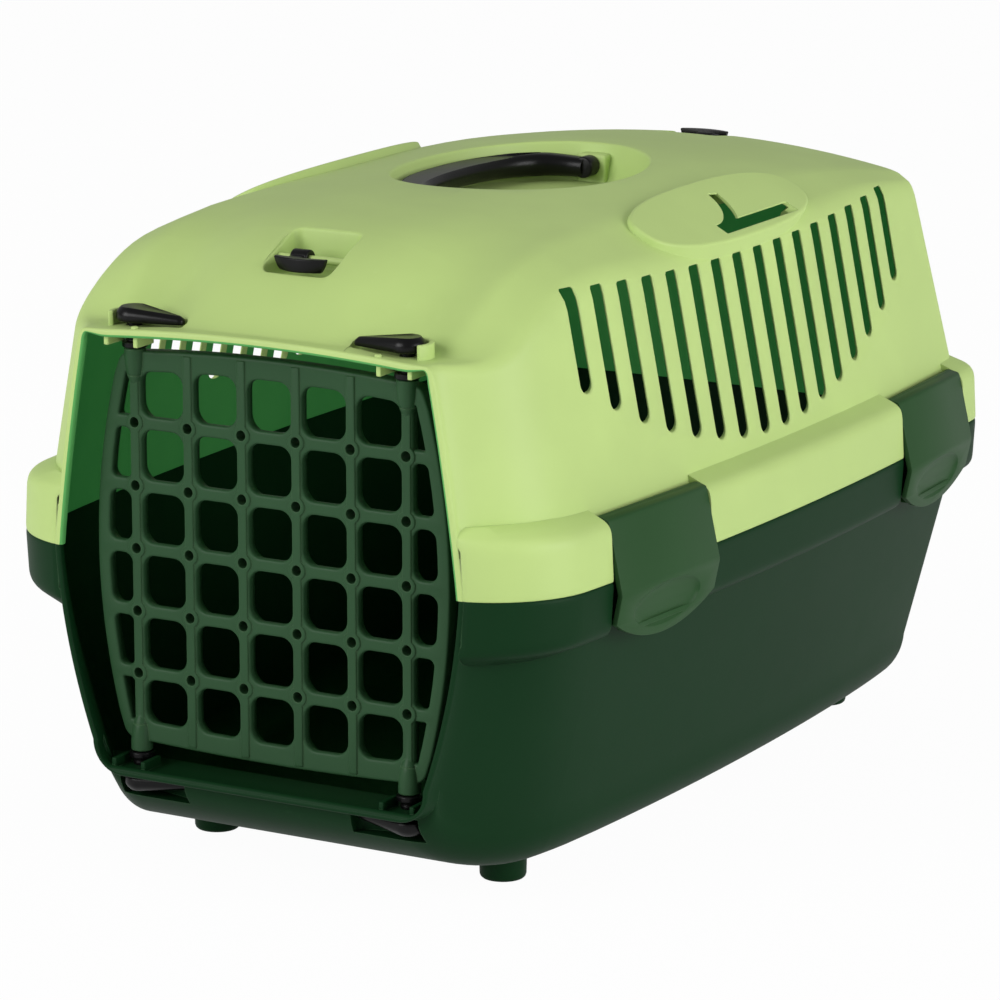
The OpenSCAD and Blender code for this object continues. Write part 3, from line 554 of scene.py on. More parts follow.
    def stations(self, inset: float, edge: float, hollow: bool) -> list[tuple[float, float, float]]:
        """Stations of a body form from the front to the back.

        Args:
            inset: how far the back is set in.
            edge: radius of the rounding at the front.
            hollow: true for the inside of a shell, which widens at the front.

        Returns:
            For each station its place along Y, the factor on its width and how far its outline is moved.
        """
        sign = -1 if hollow else 1
        out = [(self.front - 1, 1.0, -edge)] if hollow else []
        for a in quarter(18):
            out.append((self.front + edge * (1 - math.sin(a)), 1.0, sign * edge * (1 - math.cos(a))))
        steps = [2.2, 3.2, 4.4, 5.8, 7.2, 8.0, 8.7, 10, 12, 14, 16, 18.2, 20.5, 23, 25.5, 28, 31, 34, 37.5, 41, 45, 49,
                 53.5, 58, 63, 69.5, 70, 77, 85]
        out += [(self.front + s, 1.0, 0.0) for s in steps]
        near, far = self.front + 95, self.wall_back - 62
        out += [(lerp(near, far, k / 13), 1.0, 0.0) for k in range(14)]
        out += [(self.wall_back - inset - s, 1.0, 0.0) for s in (54, 45, 38, 31, 26, 22, 19)]
        r = self.corner_r - inset
        out += [(self.wall_back - inset - r * (1 - math.cos(a)), 1.0, 0.0) for a in quarter(7.5)]
        out += [(self.wall_back - inset, f, 0.0) for f in (0.93, 0.84, 0.73, 0.6, 0.46, 0.32, 0.2, 0.1)]
        return out

    def body(self, section: Callable[..., list[Point]], over: float, front: float = 0.0,
             inset: float = 0.0) -> bpy.types.Object:
        """Solid of one half of the body.

        Args:
            section: upper_section or lower_section.
            over: how far it reaches past the parting plane.
            front: thickness at the doorway that a hollow is set in by; 0 makes the outside.
            inset: how far the back is set in.

        Returns:
            The closed solid.
        """
        rings = []
        for y, factor, move in self.stations(inset, self.lip_round, front > 0):
            skin = (self.skin(y, front) if front > 0 else inset) + move
            half = section(y, skin, inset, self.part + over)
            bow = self.rear_bow * (1 - factor**2)
            half = [(x * factor, py + bow * (x / self.half_w) ** 2, z) for x, py, z in half]
            rings.append(mirrored(half))
        return Bench.loft(rings)

    # ---- rim
    def rim_x(self, y: float, inset: float) -> float:
        """Half width of the rim at y, set in by inset."""
        return (self.half_side(y) - inset - corner(y - self.front + 1.1, self.rim_front_r)
                - corner(self.back - inset - y, max(self.wall, self.rim_rear_r - inset)))

    def rim_ring(self, inset: float, z: float) -> list[Point]:
        """Plan of the rim at height z, set in by inset.

        Args:
            inset: how far it is set in.
            z: height.

        Returns:
            The closed ring.
        """
        start = self.front + 0.6 + min(inset, 4) * 0.25
        turn = [math.radians(a) for a in range(16, 91, 5)]
        ys = [start] + [self.front - 1.1 + self.rim_front_r * (1 - math.cos(a)) for a in turn]
        near, far = self.front + 50, self.back - 26
        ys += [lerp(near, far, k / 18) for k in range(19)]
        r = max(self.wall, self.rim_rear_r - inset)
        ys += [self.back - inset - r * (1 - math.cos(a)) for a in quarter(7.5)]
        side = [(self.rim_x(y, inset), y) for y in sorted(ys)]
        last = side[-1][0]
        side += [(last * f, self.back - inset) for f in (0.9, 0.78, 0.65, 0.52, 0.39, 0.26, 0.13, 0)]
        return mirrored([(x, self.bowed(x, y), z) for x, y in side])

    def rim(self, up: int, seats: "ClipSeats") -> bpy.types.Object:
        """Hollow skirt with its shelf, open at the clips and closed by a rib at each opening.

        Args:
            up: 1 for the upper rim, -1 for the lower rim.
            seats: places of the clips.

        Returns:
            The rim as a closed solid.
        """
        h = self.rim_up if up > 0 else self.rim_low
        edge = 0.5 if up > 0 else 1.1
        line = [(edge, 0), (0.0, edge), (1.2, 0.8 * h), (2.2, h - 2.4), (4.6, h),
                (self.rim_out + 2, h + 1.2 * self.shelf_rise)]
        outside = Bench.loft([self.rim_ring(o, self.part + up * z) for o, z in soften(line, 2.6, 4)])
        w = self.wall
        line = [(w, -1), (1.2 + w, 0.8 * h), (2.2 + w, h - 2.4 - 0.6 * w), (4.6 + 0.6 * w, h - w),
                (self.rim_out + 2, h + 1.2 * self.shelf_rise - w)]
        inside = Bench.loft([self.rim_ring(o, self.part + up * z) for o, z in line])
        ribs = [seats.opening(side, y, seats.notch / 2 + seats.rib) for side, y in seats.places()]
        inside = Bench.combine(inside, ribs, "DIFFERENCE")
        notches = [seats.opening(side, y, seats.notch / 2) for side, y in seats.places()]
        return Bench.combine(outside, [inside, *notches], "DIFFERENCE")


def mirrored(half: Sequence[Point]) -> list[Point]:
    """Closes a half outline with its mirror image; a point at X = 0 is taken once."""
    return list(half) + [(-x, y, z) for x, y, z in reversed(half) if x > 1e-6]


def soften(points: Sequence[tuple], reach: float, steps: int) -> list[tuple]:
    """Rounds the inner corners of an open line.

    Args:
        points: the line's corners.
        reach: distance from a corner at which its rounding starts, at most half of a stretch.
        steps: pieces of each rounding.

    Returns:
        The rounded line.
    """
    out = [points[0]]
    for a, b, c in zip(points, points[1:], points[2:]):
        cut = [min(reach, math.dist(b, e) / 2) / math.dist(b, e) for e in (a, c)]
        first = tuple(lerp(q, p, cut[0]) for p, q in zip(a, b))
        last = tuple(lerp(q, p, cut[1]) for p, q in zip(c, b))
        out += bend(first, b, last, steps)
    return out + [points[-1]]


def rounded(points: Sequence[tuple], radius: float, steps: int = 6) -> Plan:
    """Closed plan with its corners rounded by arcs.

    Args:
        points: the corners in order.
        radius: radius of the arcs, less where a side is short.
        steps: pieces of each arc.

    Returns:
        The plan.
    """
    out, count = [], len(points)
    for i in range(count):
        a, b, c = Vector(points[i - 1]), Vector(points[i]), Vector(points[(i + 1) % count])
        u, v = (a - b).normalized(), (c - b).normalized()
        half = math.acos(max(-1.0, min(1.0, u.dot(v)))) / 2
        r = min(radius, 0.49 * min((a - b).length, (c - b).length) * math.tan(half))
        centre = b + (u + v).normalized() * r / math.sin(half)
        first = b + u * r / math.tan(half) - centre
        turn = (-1 if u.x * v.y - u.y * v.x > 0 else 1) * (math.pi - 2 * half)
        start = math.atan2(first.y, first.x)
        turns = [start + turn * k / steps for k in range(steps + 1)]
        out += [(centre.x + r * math.cos(a), centre.y + r * math.sin(a)) for a in turns]
    return out


def ellipse(rx: float, ry: float, count: int, x: float = 0.0, y: float = 0.0) -> Plan:
    """Plan of an ellipse round x, y."""
    turn = [2 * math.pi * k / count for k in range(count)]
    return [(x + rx * math.cos(a), y + ry * math.sin(a)) for a in turn]


def grown(plan: Plan, o: float) -> Plan:
    """Plan moved outwards by o along its own normals; the plan runs against the clock.

    Args:
        plan: closed plan, against the clock.
        o: distance; below 0 moves it in.

    Returns:
        The moved plan.
    """
    out, count = [], len(plan)
    for i in range(count):
        a, c = Vector(plan[i - 1]), Vector(plan[(i + 1) % count])
        d = (c - a).normalized()
        out.append((plan[i][0] + d.y * o, plan[i][1] - d.x * o))
    return out


@dataclass(frozen=True)
class ClipSeats:
    """Places of the four rim clips."""

    form: Form = field(default_factory=Form)
    width: float = 84.0
    pitch: float = 292.0
    middle: float = 12.0
    clear: float = 0.3
    rib: float = 3.6
    hub_in: float = 9.6
    hub_r: float = 2.6
    peg_r: float = 1.8
    catch_up: float = 11.0

    @property
    def notch(self) -> float:
        """Width of the opening that a clip sits in."""
        return self.width + 2 * (self.clear + 0.4)

    @property
    def hub_z(self) -> float:
        """Height of the clips' pivot."""
        return self.form.shelf - 5.1

    @property
    def catch_z(self) -> float:
        """Height of the underside of the catch bars."""
        return self.form.low_shelf + self.catch_up

    def places(self) -> list[tuple[int, float]]:
        """Side, 1 for the right and -1 for the left, and place along Y of each clip."""
        return [(side, self.middle + end * self.pitch / 2) for side in (1, -1) for end in (-1, 1)]

    def frame(self, side: int, y: float) -> Matrix:
        """Place of a clip: X points out of the rim, Y along it."""
        place = Matrix.Translation((self.form.half_side(y), y, 0)) @ Matrix.Rotation(-self.form.side_angle(y), 4, "Z")
        return (MIRROR if side < 0 else Matrix.Identity(4)) @ place

    def placed(self, obj: bpy.types.Object, side: int, y: float) -> bpy.types.Object:
        """Moves a piece that was modelled at the origin to a clip's place.

        Args:
            obj: the piece at the origin.
            side: 1 for the right, -1 for the left.
            y: the clip's place along.

        Returns:
            The same piece.
        """
        obj.data.transform(self.frame(side, y))
        if side < 0:
            obj.data.flip_normals()
        return obj

    def opening(self, side: int, y: float, half: float) -> bpy.types.Object:
        """Block that opens the rim over half the given width on both sides."""
        out = 2 * self.form.rim_out
        return self.placed(Bench.block((-out, -half, 1), (out, half, 2 * self.form.part - 1)), side, y)

    def pivot_holes(self) -> list[bpy.types.Object]:
        """Rods that bore the holes of the clips' pivots.

        Returns:
            The rods of all four clips.
        """
        reach = self.notch / 2 + self.rib + 0.5
        ends = [(-self.hub_in, y, self.hub_z) for y in (-reach, reach)]
        return [self.placed(Bench.rod(*ends, self.peg_r + self.clear, 20), side, y) for side, y in self.places()]


@dataclass(frozen=True)
class LatchSeats:
    """Places and plans of the four turn latches."""

    form: Form = field(default_factory=Form)
    depth: float = 15.0
    lever_len: float = 27.0
    lever_r: float = 8.4
    tip_r: float = 2.8
    gap: float = 1.2
    wall: float = 2.8
    deck_t: float = 3.7
    clear: float = 0.3
    lever_gap: float = 2.2
    pin_r: float = 3.5
    guard_t: float = 2.4
    guard_h: float = 6.5
    fin_x: float = 8.0
    fin_h: float = 4.5
    fin_len: float = 14.0
    sill_len: float = 27.0
    pocket_h: float = 12.0

    @property
    def y(self) -> float:
        """Place of the latch axes along Y."""
        return self.form.front + self.depth

    @property
    def deck(self) -> float:
        """Height of the seats of the upper levers."""
        return self.form.ledge - self.form.ledge_arch * self.form.latch_x**2 - self.clear

    def plan(self, o: float, turn: float = 0.0, steps: int = 14) -> Plan:
        """Drop-shaped plan of a lever that points towards the middle, grown by o and turned.

        Args:
            o: how far it is grown.
            turn: turn of the lever.
            steps: pieces of each arc.

        Returns:
            The plan round the lever's axis.
        """
        reach = self.lever_len - self.tip_r
        side = math.pi - math.acos((self.lever_r - self.tip_r) / reach)
        out = []
        for k in range(2 * steps + 1):
            a = -side + side * k / steps
            out.append(((self.lever_r + o) * math.cos(a), (self.lever_r + o) * math.sin(a)))
        for k in range(steps + 1):
            a = side + 2 * (math.pi - side) * k / steps
            out.append((-reach + (self.tip_r + o) * math.cos(a), (self.tip_r + o) * math.sin(a)))
        c, s = math.cos(turn), math.sin(turn)
        return [(x * c - y * s, x * s + y * c) for x, y in out]

    def at(self, plan: Plan) -> Plan:
        """Moves a plan to the right latch axis."""
        return [(x + self.form.latch_x, y + self.y) for x, y in plan]

    def seat(self, o: float, low: float, high: float) -> bpy.types.Object:
        """Solid over the plan of the resting lever, grown by o."""
        return Bench.prism(self.at(self.plan(o)), low, high)

    def sweep(self, low: float, high: float) -> list[bpy.types.Object]:
        """Solids over the space that the lever crosses as it turns to the front.

        Args:
            low: height of the foot.
            high: height of the top.

        Returns:
            The solids.
        """
        reach = self.lever_len + self.gap
        turn = [math.radians(a) for a in range(0, 91, 6)]
        fan = [(0.3, 0.3)] + [(-reach * math.cos(a), -reach * math.sin(a)) for a in turn]
        plans = (self.plan(self.gap), self.plan(self.gap, math.pi / 2), fan)
        return [Bench.prism(self.at(plan), low, high) for plan in plans]

    def fins(self, z: float, up: int) -> list[bpy.types.Object]:
        """Ribs on both sides of a pin, standing on z.

        Args:
            z: height of the surface they stand on.
            up: 1 where they stand up, -1 where they hang.

        Returns:
            The ribs of the right side.
        """
        x0, y0, half = self.form.latch_x, self.form.front + 3, self.guard_t / 2
        low, high = sorted((z - 0.5 * up, z + self.fin_h * up))
        return [Bench.block((x0 + x - half, y0, low), (x0 + x + half, y0 + self.fin_len, high), 0.5)
                for x in (-self.fin_x, self.fin_x)]

    def guard(self) -> bpy.types.Object:
        """Wall round the outer and rear side of an upper lever's round end.

        Returns:
            The wall of the right side.
        """
        r = self.lever_r + self.gap
        arc = [math.radians(lerp(-35, 100, k / 20)) for k in range(21)]
        plan = [((r + self.guard_t) * math.cos(a), (r + self.guard_t) * math.sin(a)) for a in arc]
        plan += [(r * math.cos(a), r * math.sin(a)) for a in reversed(arc)]
        return Bench.prism(self.at(plan), self.deck - 2, self.deck + self.guard_h, 0.6)

    def bore(self, low: float, high: float) -> bpy.types.Object:
        """Rod that bores the hole of a pin."""
        x = self.form.latch_x
        return Bench.rod((x, self.y, low), (x, self.y, high), self.pin_r + self.clear, 32)


def both(tools: Sequence[bpy.types.Object]) -> list[bpy.types.Object]:
    """The tools of the right side and their mirror images."""
    return [t for tool in tools for t in (tool, Bench.twin(tool, MIRROR))]


# ------------------------------------------------------------------ shells
@dataclass
class UpperShell:
    """Vented upper shell with its handle cup, strap-eye cups, belt guides and latch decks."""

    form: Form
    clips: ClipSeats
    latches: LatchSeats
    vent_count: int = 16
    vent_pitch: float = 21.2
    vent_w: float = 9.2
    vent_low: float = 192.0
    vent_rise: float = 45.0
    vent_flare: float = 1.75
    vent_drop: float = 3.0
    cup_rx: float = 57.0
    cup_ry: float = 80.0
    cup_floor: float = 288.0
    cup_draft: float = 4.0
    cup_y: float = 7.0
    bracket_w: float = 16.0
    bracket_start: float = 71.8
    bracket_top: float = 302.0
    peg_z: float = 296.5
    peg_r: float = 2.7
    peg_reach: tuple[float, float] = (60.0, 75.7)
    eye_ys: tuple[float, float] = (-187.0, 194.0)
    eye_zs: tuple[float, float] = (290.96, 293.75)
    eye_cup_w: float = 34.0
    eye_cup_len: float = 30.0
    eye_cup_depth: float = 13.0
    guide_w: float = 46.0
    guide_len: float = 162.0
    guide_tilt: float = 27.0
    guide_power: float = 2.6
    guide_at: Point = (108.5, 5.0, 291.0)
    guide_rise: float = 5.0
    guide_sink: float = 3.5
    guide_skin: float = 1.3
    slot_w: float = 8.0
    slot_in: float = 7.4
    slot_r: float = 30.0
    slot_y: float = -21.0
    slot_end: float = 53.0

    def surface_x(self, y: float, z: float) -> float:
        """Half width of the outer surface at y and z.

        Args:
            y: place along.
            z: height.

        Returns:
            The half width.
        """
        f = self.form
        at = y + f.rear_lean_up * (z - f.shelf) * (max(0.0, y) / f.wall_back) ** 4
        line = f.upper_section(at, 0, 0, f.part)
        for a, b in zip(line, line[1:]):
            if a[2] <= z <= b[2]:
                return lerp(a[0], b[0], (z - a[2]) / max(1e-9, b[2] - a[2]))
        return line[-1][0]

    def vent(self, k: int) -> bpy.types.Object:
        """Cutter of one vent slot of the right side, whose mouth is rounded.

        Args:
            k: number of the slot from the front.

        Returns:
            The cutter.
        """
        t = (2 * k - self.vent_count + 1) / (self.vent_count - 1)
        y = self.vent_pitch * (self.vent_count - 1) / 2 * t - 1
        half = self.vent_w / 2
        low, top = self.vent_low + self.vent_rise * t**2 + self.vent_w / 2, self.form.vent_line(y) - self.vent_drop
        plan = [(y + half * math.cos(a), low + half * math.sin(a)) for a in (math.pi * (1 + i / 12) for i in range(13))]
        heights = [lerp(low, top - 0.8, i / 10) for i in range(1, 11)]
        plan += [(y + half, z) for z in heights] + [(y + half - 0.8, top), (y, top), (y - half + 0.8, top)]
        plan += [(y - half, z) for z in reversed(heights)]
        wide = [(y + (py - y) * self.vent_flare, pz) for py, pz in plan]
        deep = self.form.skin(y, self.form.lip) + 0.6
        inner = self.form.crease_x + (11 if abs(y) > 140 else 17)
        rings = [[(inner, py, pz) for py, pz in wide]]
        for depth, o in ((-deep, None), (-0.8, 0.0), (-0.3, 0.1), (-0.1, 0.3), (0.02, 0.6), (8.0, 0.6)):
            outline = wide if o is None else grown(plan, o)
            xs = [self.surface_x(py, pz) + depth for py, pz in plan]
            rings.append([(x, py, pz) for x, (py, pz) in zip(xs, outline)])
        return Bench.loft(rings)

    def sunk(self, plan: Plan, z: float, draft: float, foot: float, mouth: float) -> bpy.types.Object:
        """Cutter of a cup in the roof, with a rounded foot and mouth.

        Args:
            plan: the cup's plan at its floor, against the clock.
            z: height of the floor.
            draft: how far the wall leans out up to the roof.
            foot: radius at the floor.
            mouth: radius at the roof.

        Returns:
            The cutter.
        """
        rings = []
        for k in range(5):
            a = math.radians(90 * k / 4)
            rings.append([(x, y, z + foot * (1 - math.cos(a))) for x, y in grown(plan, -foot * (1 - math.sin(a)))])
        for f in (0.5, 1.0):
            level = [(x, y, self.form.roof(x, y) - mouth) for x, y in grown(plan, draft * f)]
            rings.append([(x, y, lerp(z + foot, top, f)) for x, y, top in level])
        for k in range(1, 5):
            a = math.radians(90 * k / 4)
            wider = grown(plan, draft + mouth * (1 - math.cos(a)))
            rings.append([(x, y, self.form.roof(x, y) - mouth * (1 - math.sin(a))) for x, y in wider])
        rings.append([(x, y, ABOVE) for x, y, _ in rings[-1]])
        return Bench.loft(rings)

    def handle_cup(self) -> bpy.types.Object:
        """Cutter of the handle cup, which leaves the two pivot brackets.

        Returns:
            The cutter.
        """
        plan = ellipse(self.cup_rx - self.cup_draft, self.cup_ry - self.cup_draft, 120, 0, self.cup_y)
        cup = self.sunk(plan, self.cup_floor, self.cup_draft, 3.0, 1.6)
        blocks = []
        for end in (-1, 1):
            ys = sorted((self.cup_y + end * self.bracket_start, self.cup_y + end * (self.cup_ry + 8)))
            half = self.bracket_w / 2
            blocks.append(Bench.block((-half, ys[0], self.cup_floor - 4), (half, ys[1], self.bracket_top), 1.4))
        return Bench.combine(cup, blocks, "DIFFERENCE")

    def peg_holes(self) -> list[bpy.types.Object]:
        """Rods that bore the handle's pivots."""
        return [Bench.rod(*((0, self.cup_y + end * reach, self.peg_z) for reach in self.peg_reach), self.peg_r, 24)
                for end in (-1, 1)]

    def eye_plan(self, y: float, o: float, radius: float) -> Plan:
        """Plan of a strap-eye cup."""
        w, d = self.eye_cup_w / 2 + o, self.eye_cup_len / 2 + o
        return rounded([(-w, y - d), (w, y - d), (w, y + d), (-w, y + d)], radius)

    def eye_cup(self, y: float) -> bpy.types.Object:
        """Cutter of a strap-eye cup."""
        return self.sunk(self.eye_plan(y, 0, 3.2), self.form.roof(0, y) - self.eye_cup_depth, 1.0, 1.6, 1.1)

    def undersides(self) -> bpy.types.Object:
        """Material under the cups and the latch decks, within the sheet's outer half.

        Returns:
            The material as one solid.
        """
        f = self.form
        levels = ((self.cup_floor - f.wall, f.wall - self.cup_draft), (312, f.wall + 1.5))
        plans = [(z, ellipse(self.cup_rx + o, self.cup_ry + o, 96, 0, self.cup_y)) for z, o in levels]
        under = Bench.loft([[(x, y, z) for x, y in plan] for z, plan in plans])
        floors = [(y, f.roof(0, y) - self.eye_cup_depth - f.wall) for y in self.eye_ys]
        cups = [Bench.prism(self.eye_plan(y, f.wall, 5), low, ABOVE) for y, low in floors]
        seats = self.latches
        seat = seats.seat(seats.gap + seats.wall, seats.deck - seats.deck_t, ABOVE)
        under = Bench.combine(under, cups, "UNION")
        under = Bench.combine(under, both([seat]), "UNION")
        return Bench.combine(under, [f.body(f.upper_section, 0, inset=0.8)], "INTERSECT")

    def guide_plan(self) -> Plan:
        """Plan of the belt guide's oval, which is fuller than an ellipse.

        Returns:
            The plan round the guide's middle.
        """
        turn = [2 * math.pi * k / 96 for k in range(96)]
        full = 2 / self.guide_power
        return [(self.guide_w / 2 * math.copysign(abs(math.cos(a)) ** full, math.cos(a)),
                 self.guide_len / 2 * math.copysign(abs(math.sin(a)) ** full, math.sin(a))) for a in turn]

    def guide(self) -> bpy.types.Object:
        """Raised oval of the right belt guide.

        Returns:
            The solid.
        """
        rings = []
        top, sink = self.guide_rise, self.guide_sink
        turn = [math.radians(15 * k) for k in range(7)]
        profile = [(-sink, 0.0), (top - 3.0, 0.9)]
        profile += [(top - 1.2 + 1.2 * math.sin(a), 1.0 + 1.9 * (1 - math.cos(a))) for a in turn]
        for z, o in profile:
            rings.append([(x, y, z) for x, y in grown(self.guide_plan(), -o)])
        obj = Bench.loft(rings)
        obj.data.transform(Matrix.Translation(self.guide_at) @ Matrix.Rotation(math.radians(self.guide_tilt), 4, "Y"))
        return obj

    def tilted(self, levels: Sequence[tuple[float, Plan]]) -> bpy.types.Object:
        """Upright cutter at the belt guide, whose levels lie along the guide's slope.

        Args:
            levels: height over the guide's foot and plan of each level.

        Returns:
            The cutter.
        """
        slope, cos = (f(math.radians(self.guide_tilt)) for f in (math.sin, math.cos))
        obj = Bench.loft([[(x, y, level - x * slope) for x, y in plan] for level, plan in levels])
        obj.data.transform(Matrix.Translation(self.guide_at) @ Matrix.Diagonal((cos, 1, 1, 1)))
        return obj

    def guide_hollow(self) -> bpy.types.Object:
        """Cutter that hollows the belt guide from inside."""
        levels = ((-16, -15), (0, -9.5), (self.guide_rise - self.guide_skin, -6))
        return self.tilted([(z, grown(self.guide_plan(), o)) for z, o in levels])

    def belt_slots(self) -> list[bpy.types.Object]:
        """Cutters of the curved and the straight belt slot of the right side, cut straight down.

        Returns:
            The two cutters.
        """
        edge, r, w, y = self.guide_w / 2 - self.slot_in, self.slot_r, self.slot_w / 2, self.slot_y
        arc = [math.radians(lerp(-4, 78, k / 24)) for k in range(25)]
        curved = [(edge - r + (r + w) * math.cos(a), y + (r + w) * math.sin(a)) for a in arc]
        curved += [(edge - r + (r - w) * math.cos(a), y + (r - w) * math.sin(a)) for a in reversed(arc)]
        start, end = y - 1, self.slot_end
        straight = rounded([(edge - w, start), (edge + w, start), (edge + w, end), (edge - w, end)], 0.8, 3)
        level, out = self.guide_rise - self.guide_skin, []
        for plan in (curved, straight):
            foot = [(px - 2.8, min(py, end - 3)) for px, py in grown(plan, 1.2)]
            out.append(self.tilted([(-24, foot), (level - 1.5, foot), (level + 1.2, plan), (26, plan)]))
        return out

    def axle(self, y: float, z: float) -> bpy.types.Object:
        """Axle across a strap-eye cup."""
        reach = self.eye_cup_w / 2 + self.form.wall
        return Bench.rod((-reach, y, z), (reach, y, z), 1.8, 24)

    def build(self) -> bpy.types.Object:
        """Builds the shell.

        Returns:
            The shell in millimetres.
        """
        f, seats = self.form, self.latches
        shell = f.body(f.upper_section, 0)
        shell = Bench.combine(shell, [f.rim(1, self.clips)], "UNION")
        hollow = Bench.lined(f.body(f.upper_section, -1, front=f.lip, inset=f.wall))
        shell = Bench.combine(shell, [hollow], "DIFFERENCE")
        shell = Bench.combine(shell, [self.undersides(), *both([self.guide()])], "UNION")
        cuts = [self.handle_cup(), *self.peg_holes(), *(self.eye_cup(y) for y in self.eye_ys)]
        cuts += both([seats.seat(seats.gap, seats.deck, ABOVE), *seats.sweep(seats.deck + seats.lever_gap - 0.6, ABOVE),
                      seats.bore(seats.deck - 8, seats.deck + 8)])
        cuts += both([self.guide_hollow(), *self.belt_slots()])
        cuts += both([self.vent(k) for k in range(self.vent_count)]) + self.clips.pivot_holes()
        shell = Bench.combine(shell, cuts, "DIFFERENCE")
        peg = Bench.rod(*((f.latch_x - 8, f.front + 3, seats.deck + z) for z in (-1, 1.9)), 1.6, 24, 0.4)
        extra = both([seats.guard(), *seats.fins(seats.deck - seats.deck_t, -1), peg])
        extra += [self.axle(y, z) for y, z in zip(self.eye_ys, self.eye_zs)]
        return Bench.combine(shell, extra, "UNION")


@dataclass
class LowerShell:
    """Deep tub with its rim, sill, curved front, lever pockets and feet."""

    form: Form
    clips: ClipSeats
    latches: LatchSeats
    foot_x: float = 79.0
    foot_ys: tuple[float, float] = (-151.0, 195.0)
    foot_r: float = 11.0
    catch_t: float = 3.0
    catch_in: float = 7.0

    def foot(self, o: float) -> list[bpy.types.Object]:
        """The four feet with rounded lower edges, set in by o.

        Args:
            o: how far they are set in.

        Returns:
            The feet.
        """
        profile = ((-2, 0.0), (-1.1, 0.25), (-0.4, 0.9), (0, 2.0), (0.4, self.form.floor + 1.3 - o))
        rings = [(self.foot_r + wider - o, z) for wider, z in profile]
        return [Bench.loft([[(px, py, z + o) for px, py in ellipse(r, r, 40, x, y)] for r, z in rings])
                for x in (-self.foot_x, self.foot_x) for y in self.foot_ys]

    def catch_bars(self) -> list[bpy.types.Object]:
        """Bars that the clips' catches hook under.

        Returns:
            The four bars.
        """
        z, reach, half = self.clips.catch_z, self.form.rim_out + self.form.wall, self.clips.notch / 2 + 1
        low, high = (-reach, -half, z), (-self.catch_in, half, z + self.catch_t)
        return [self.clips.placed(Bench.block(low, high), side, y) for side, y in self.clips.places()]

    def sill(self) -> bpy.types.Object:
        """Sill plate and the walls of the lever pockets, within the sheet's outer half.

        Returns:
            The solid.
        """
        f, seats = self.form, self.latches
        plate = Bench.block((-f.half_w, f.front + 0.6, f.sill - f.sill_t), (f.half_w, f.front + seats.sill_len, f.sill))
        bead = Bench.rod(*((x, f.front + 1.9, f.sill - 0.4) for x in (-f.half_w, f.half_w)), 1.7, 32)
        plate = Bench.combine(plate, [bead], "UNION")
        low = f.sill - f.sill_t - seats.pocket_h - seats.wall
        plate = Bench.combine(plate, both([seats.seat(seats.gap + seats.wall, low, f.sill - 1)]), "UNION")
        return Bench.combine(plate, [f.body(f.lower_section, 0, inset=0.8)], "INTERSECT")

    def build(self) -> bpy.types.Object:
        """Builds the tub.

        Returns:
            The tub in millimetres.
        """
        f, seats = self.form, self.latches
        tub = f.body(f.lower_section, 0)
        tub = Bench.combine(tub, [f.rim(-1, self.clips), *self.catch_bars(), *self.foot(0)], "UNION")
        hollow = f.body(f.lower_section, 1, front=f.sill_t - 0.2, inset=f.wall)
        tub = Bench.combine(tub, [hollow, *self.foot(f.wall)], "DIFFERENCE")
        tub = Bench.combine(tub, [self.sill(), *both(seats.fins(f.sill, 1))], "UNION")
        pocket = seats.sweep(f.sill - f.sill_t - seats.pocket_h, f.sill - f.sill_t)
        return Bench.combine(tub, both([*pocket, seats.bore(f.sill - 6, f.sill + 3)]), "DIFFERENCE")


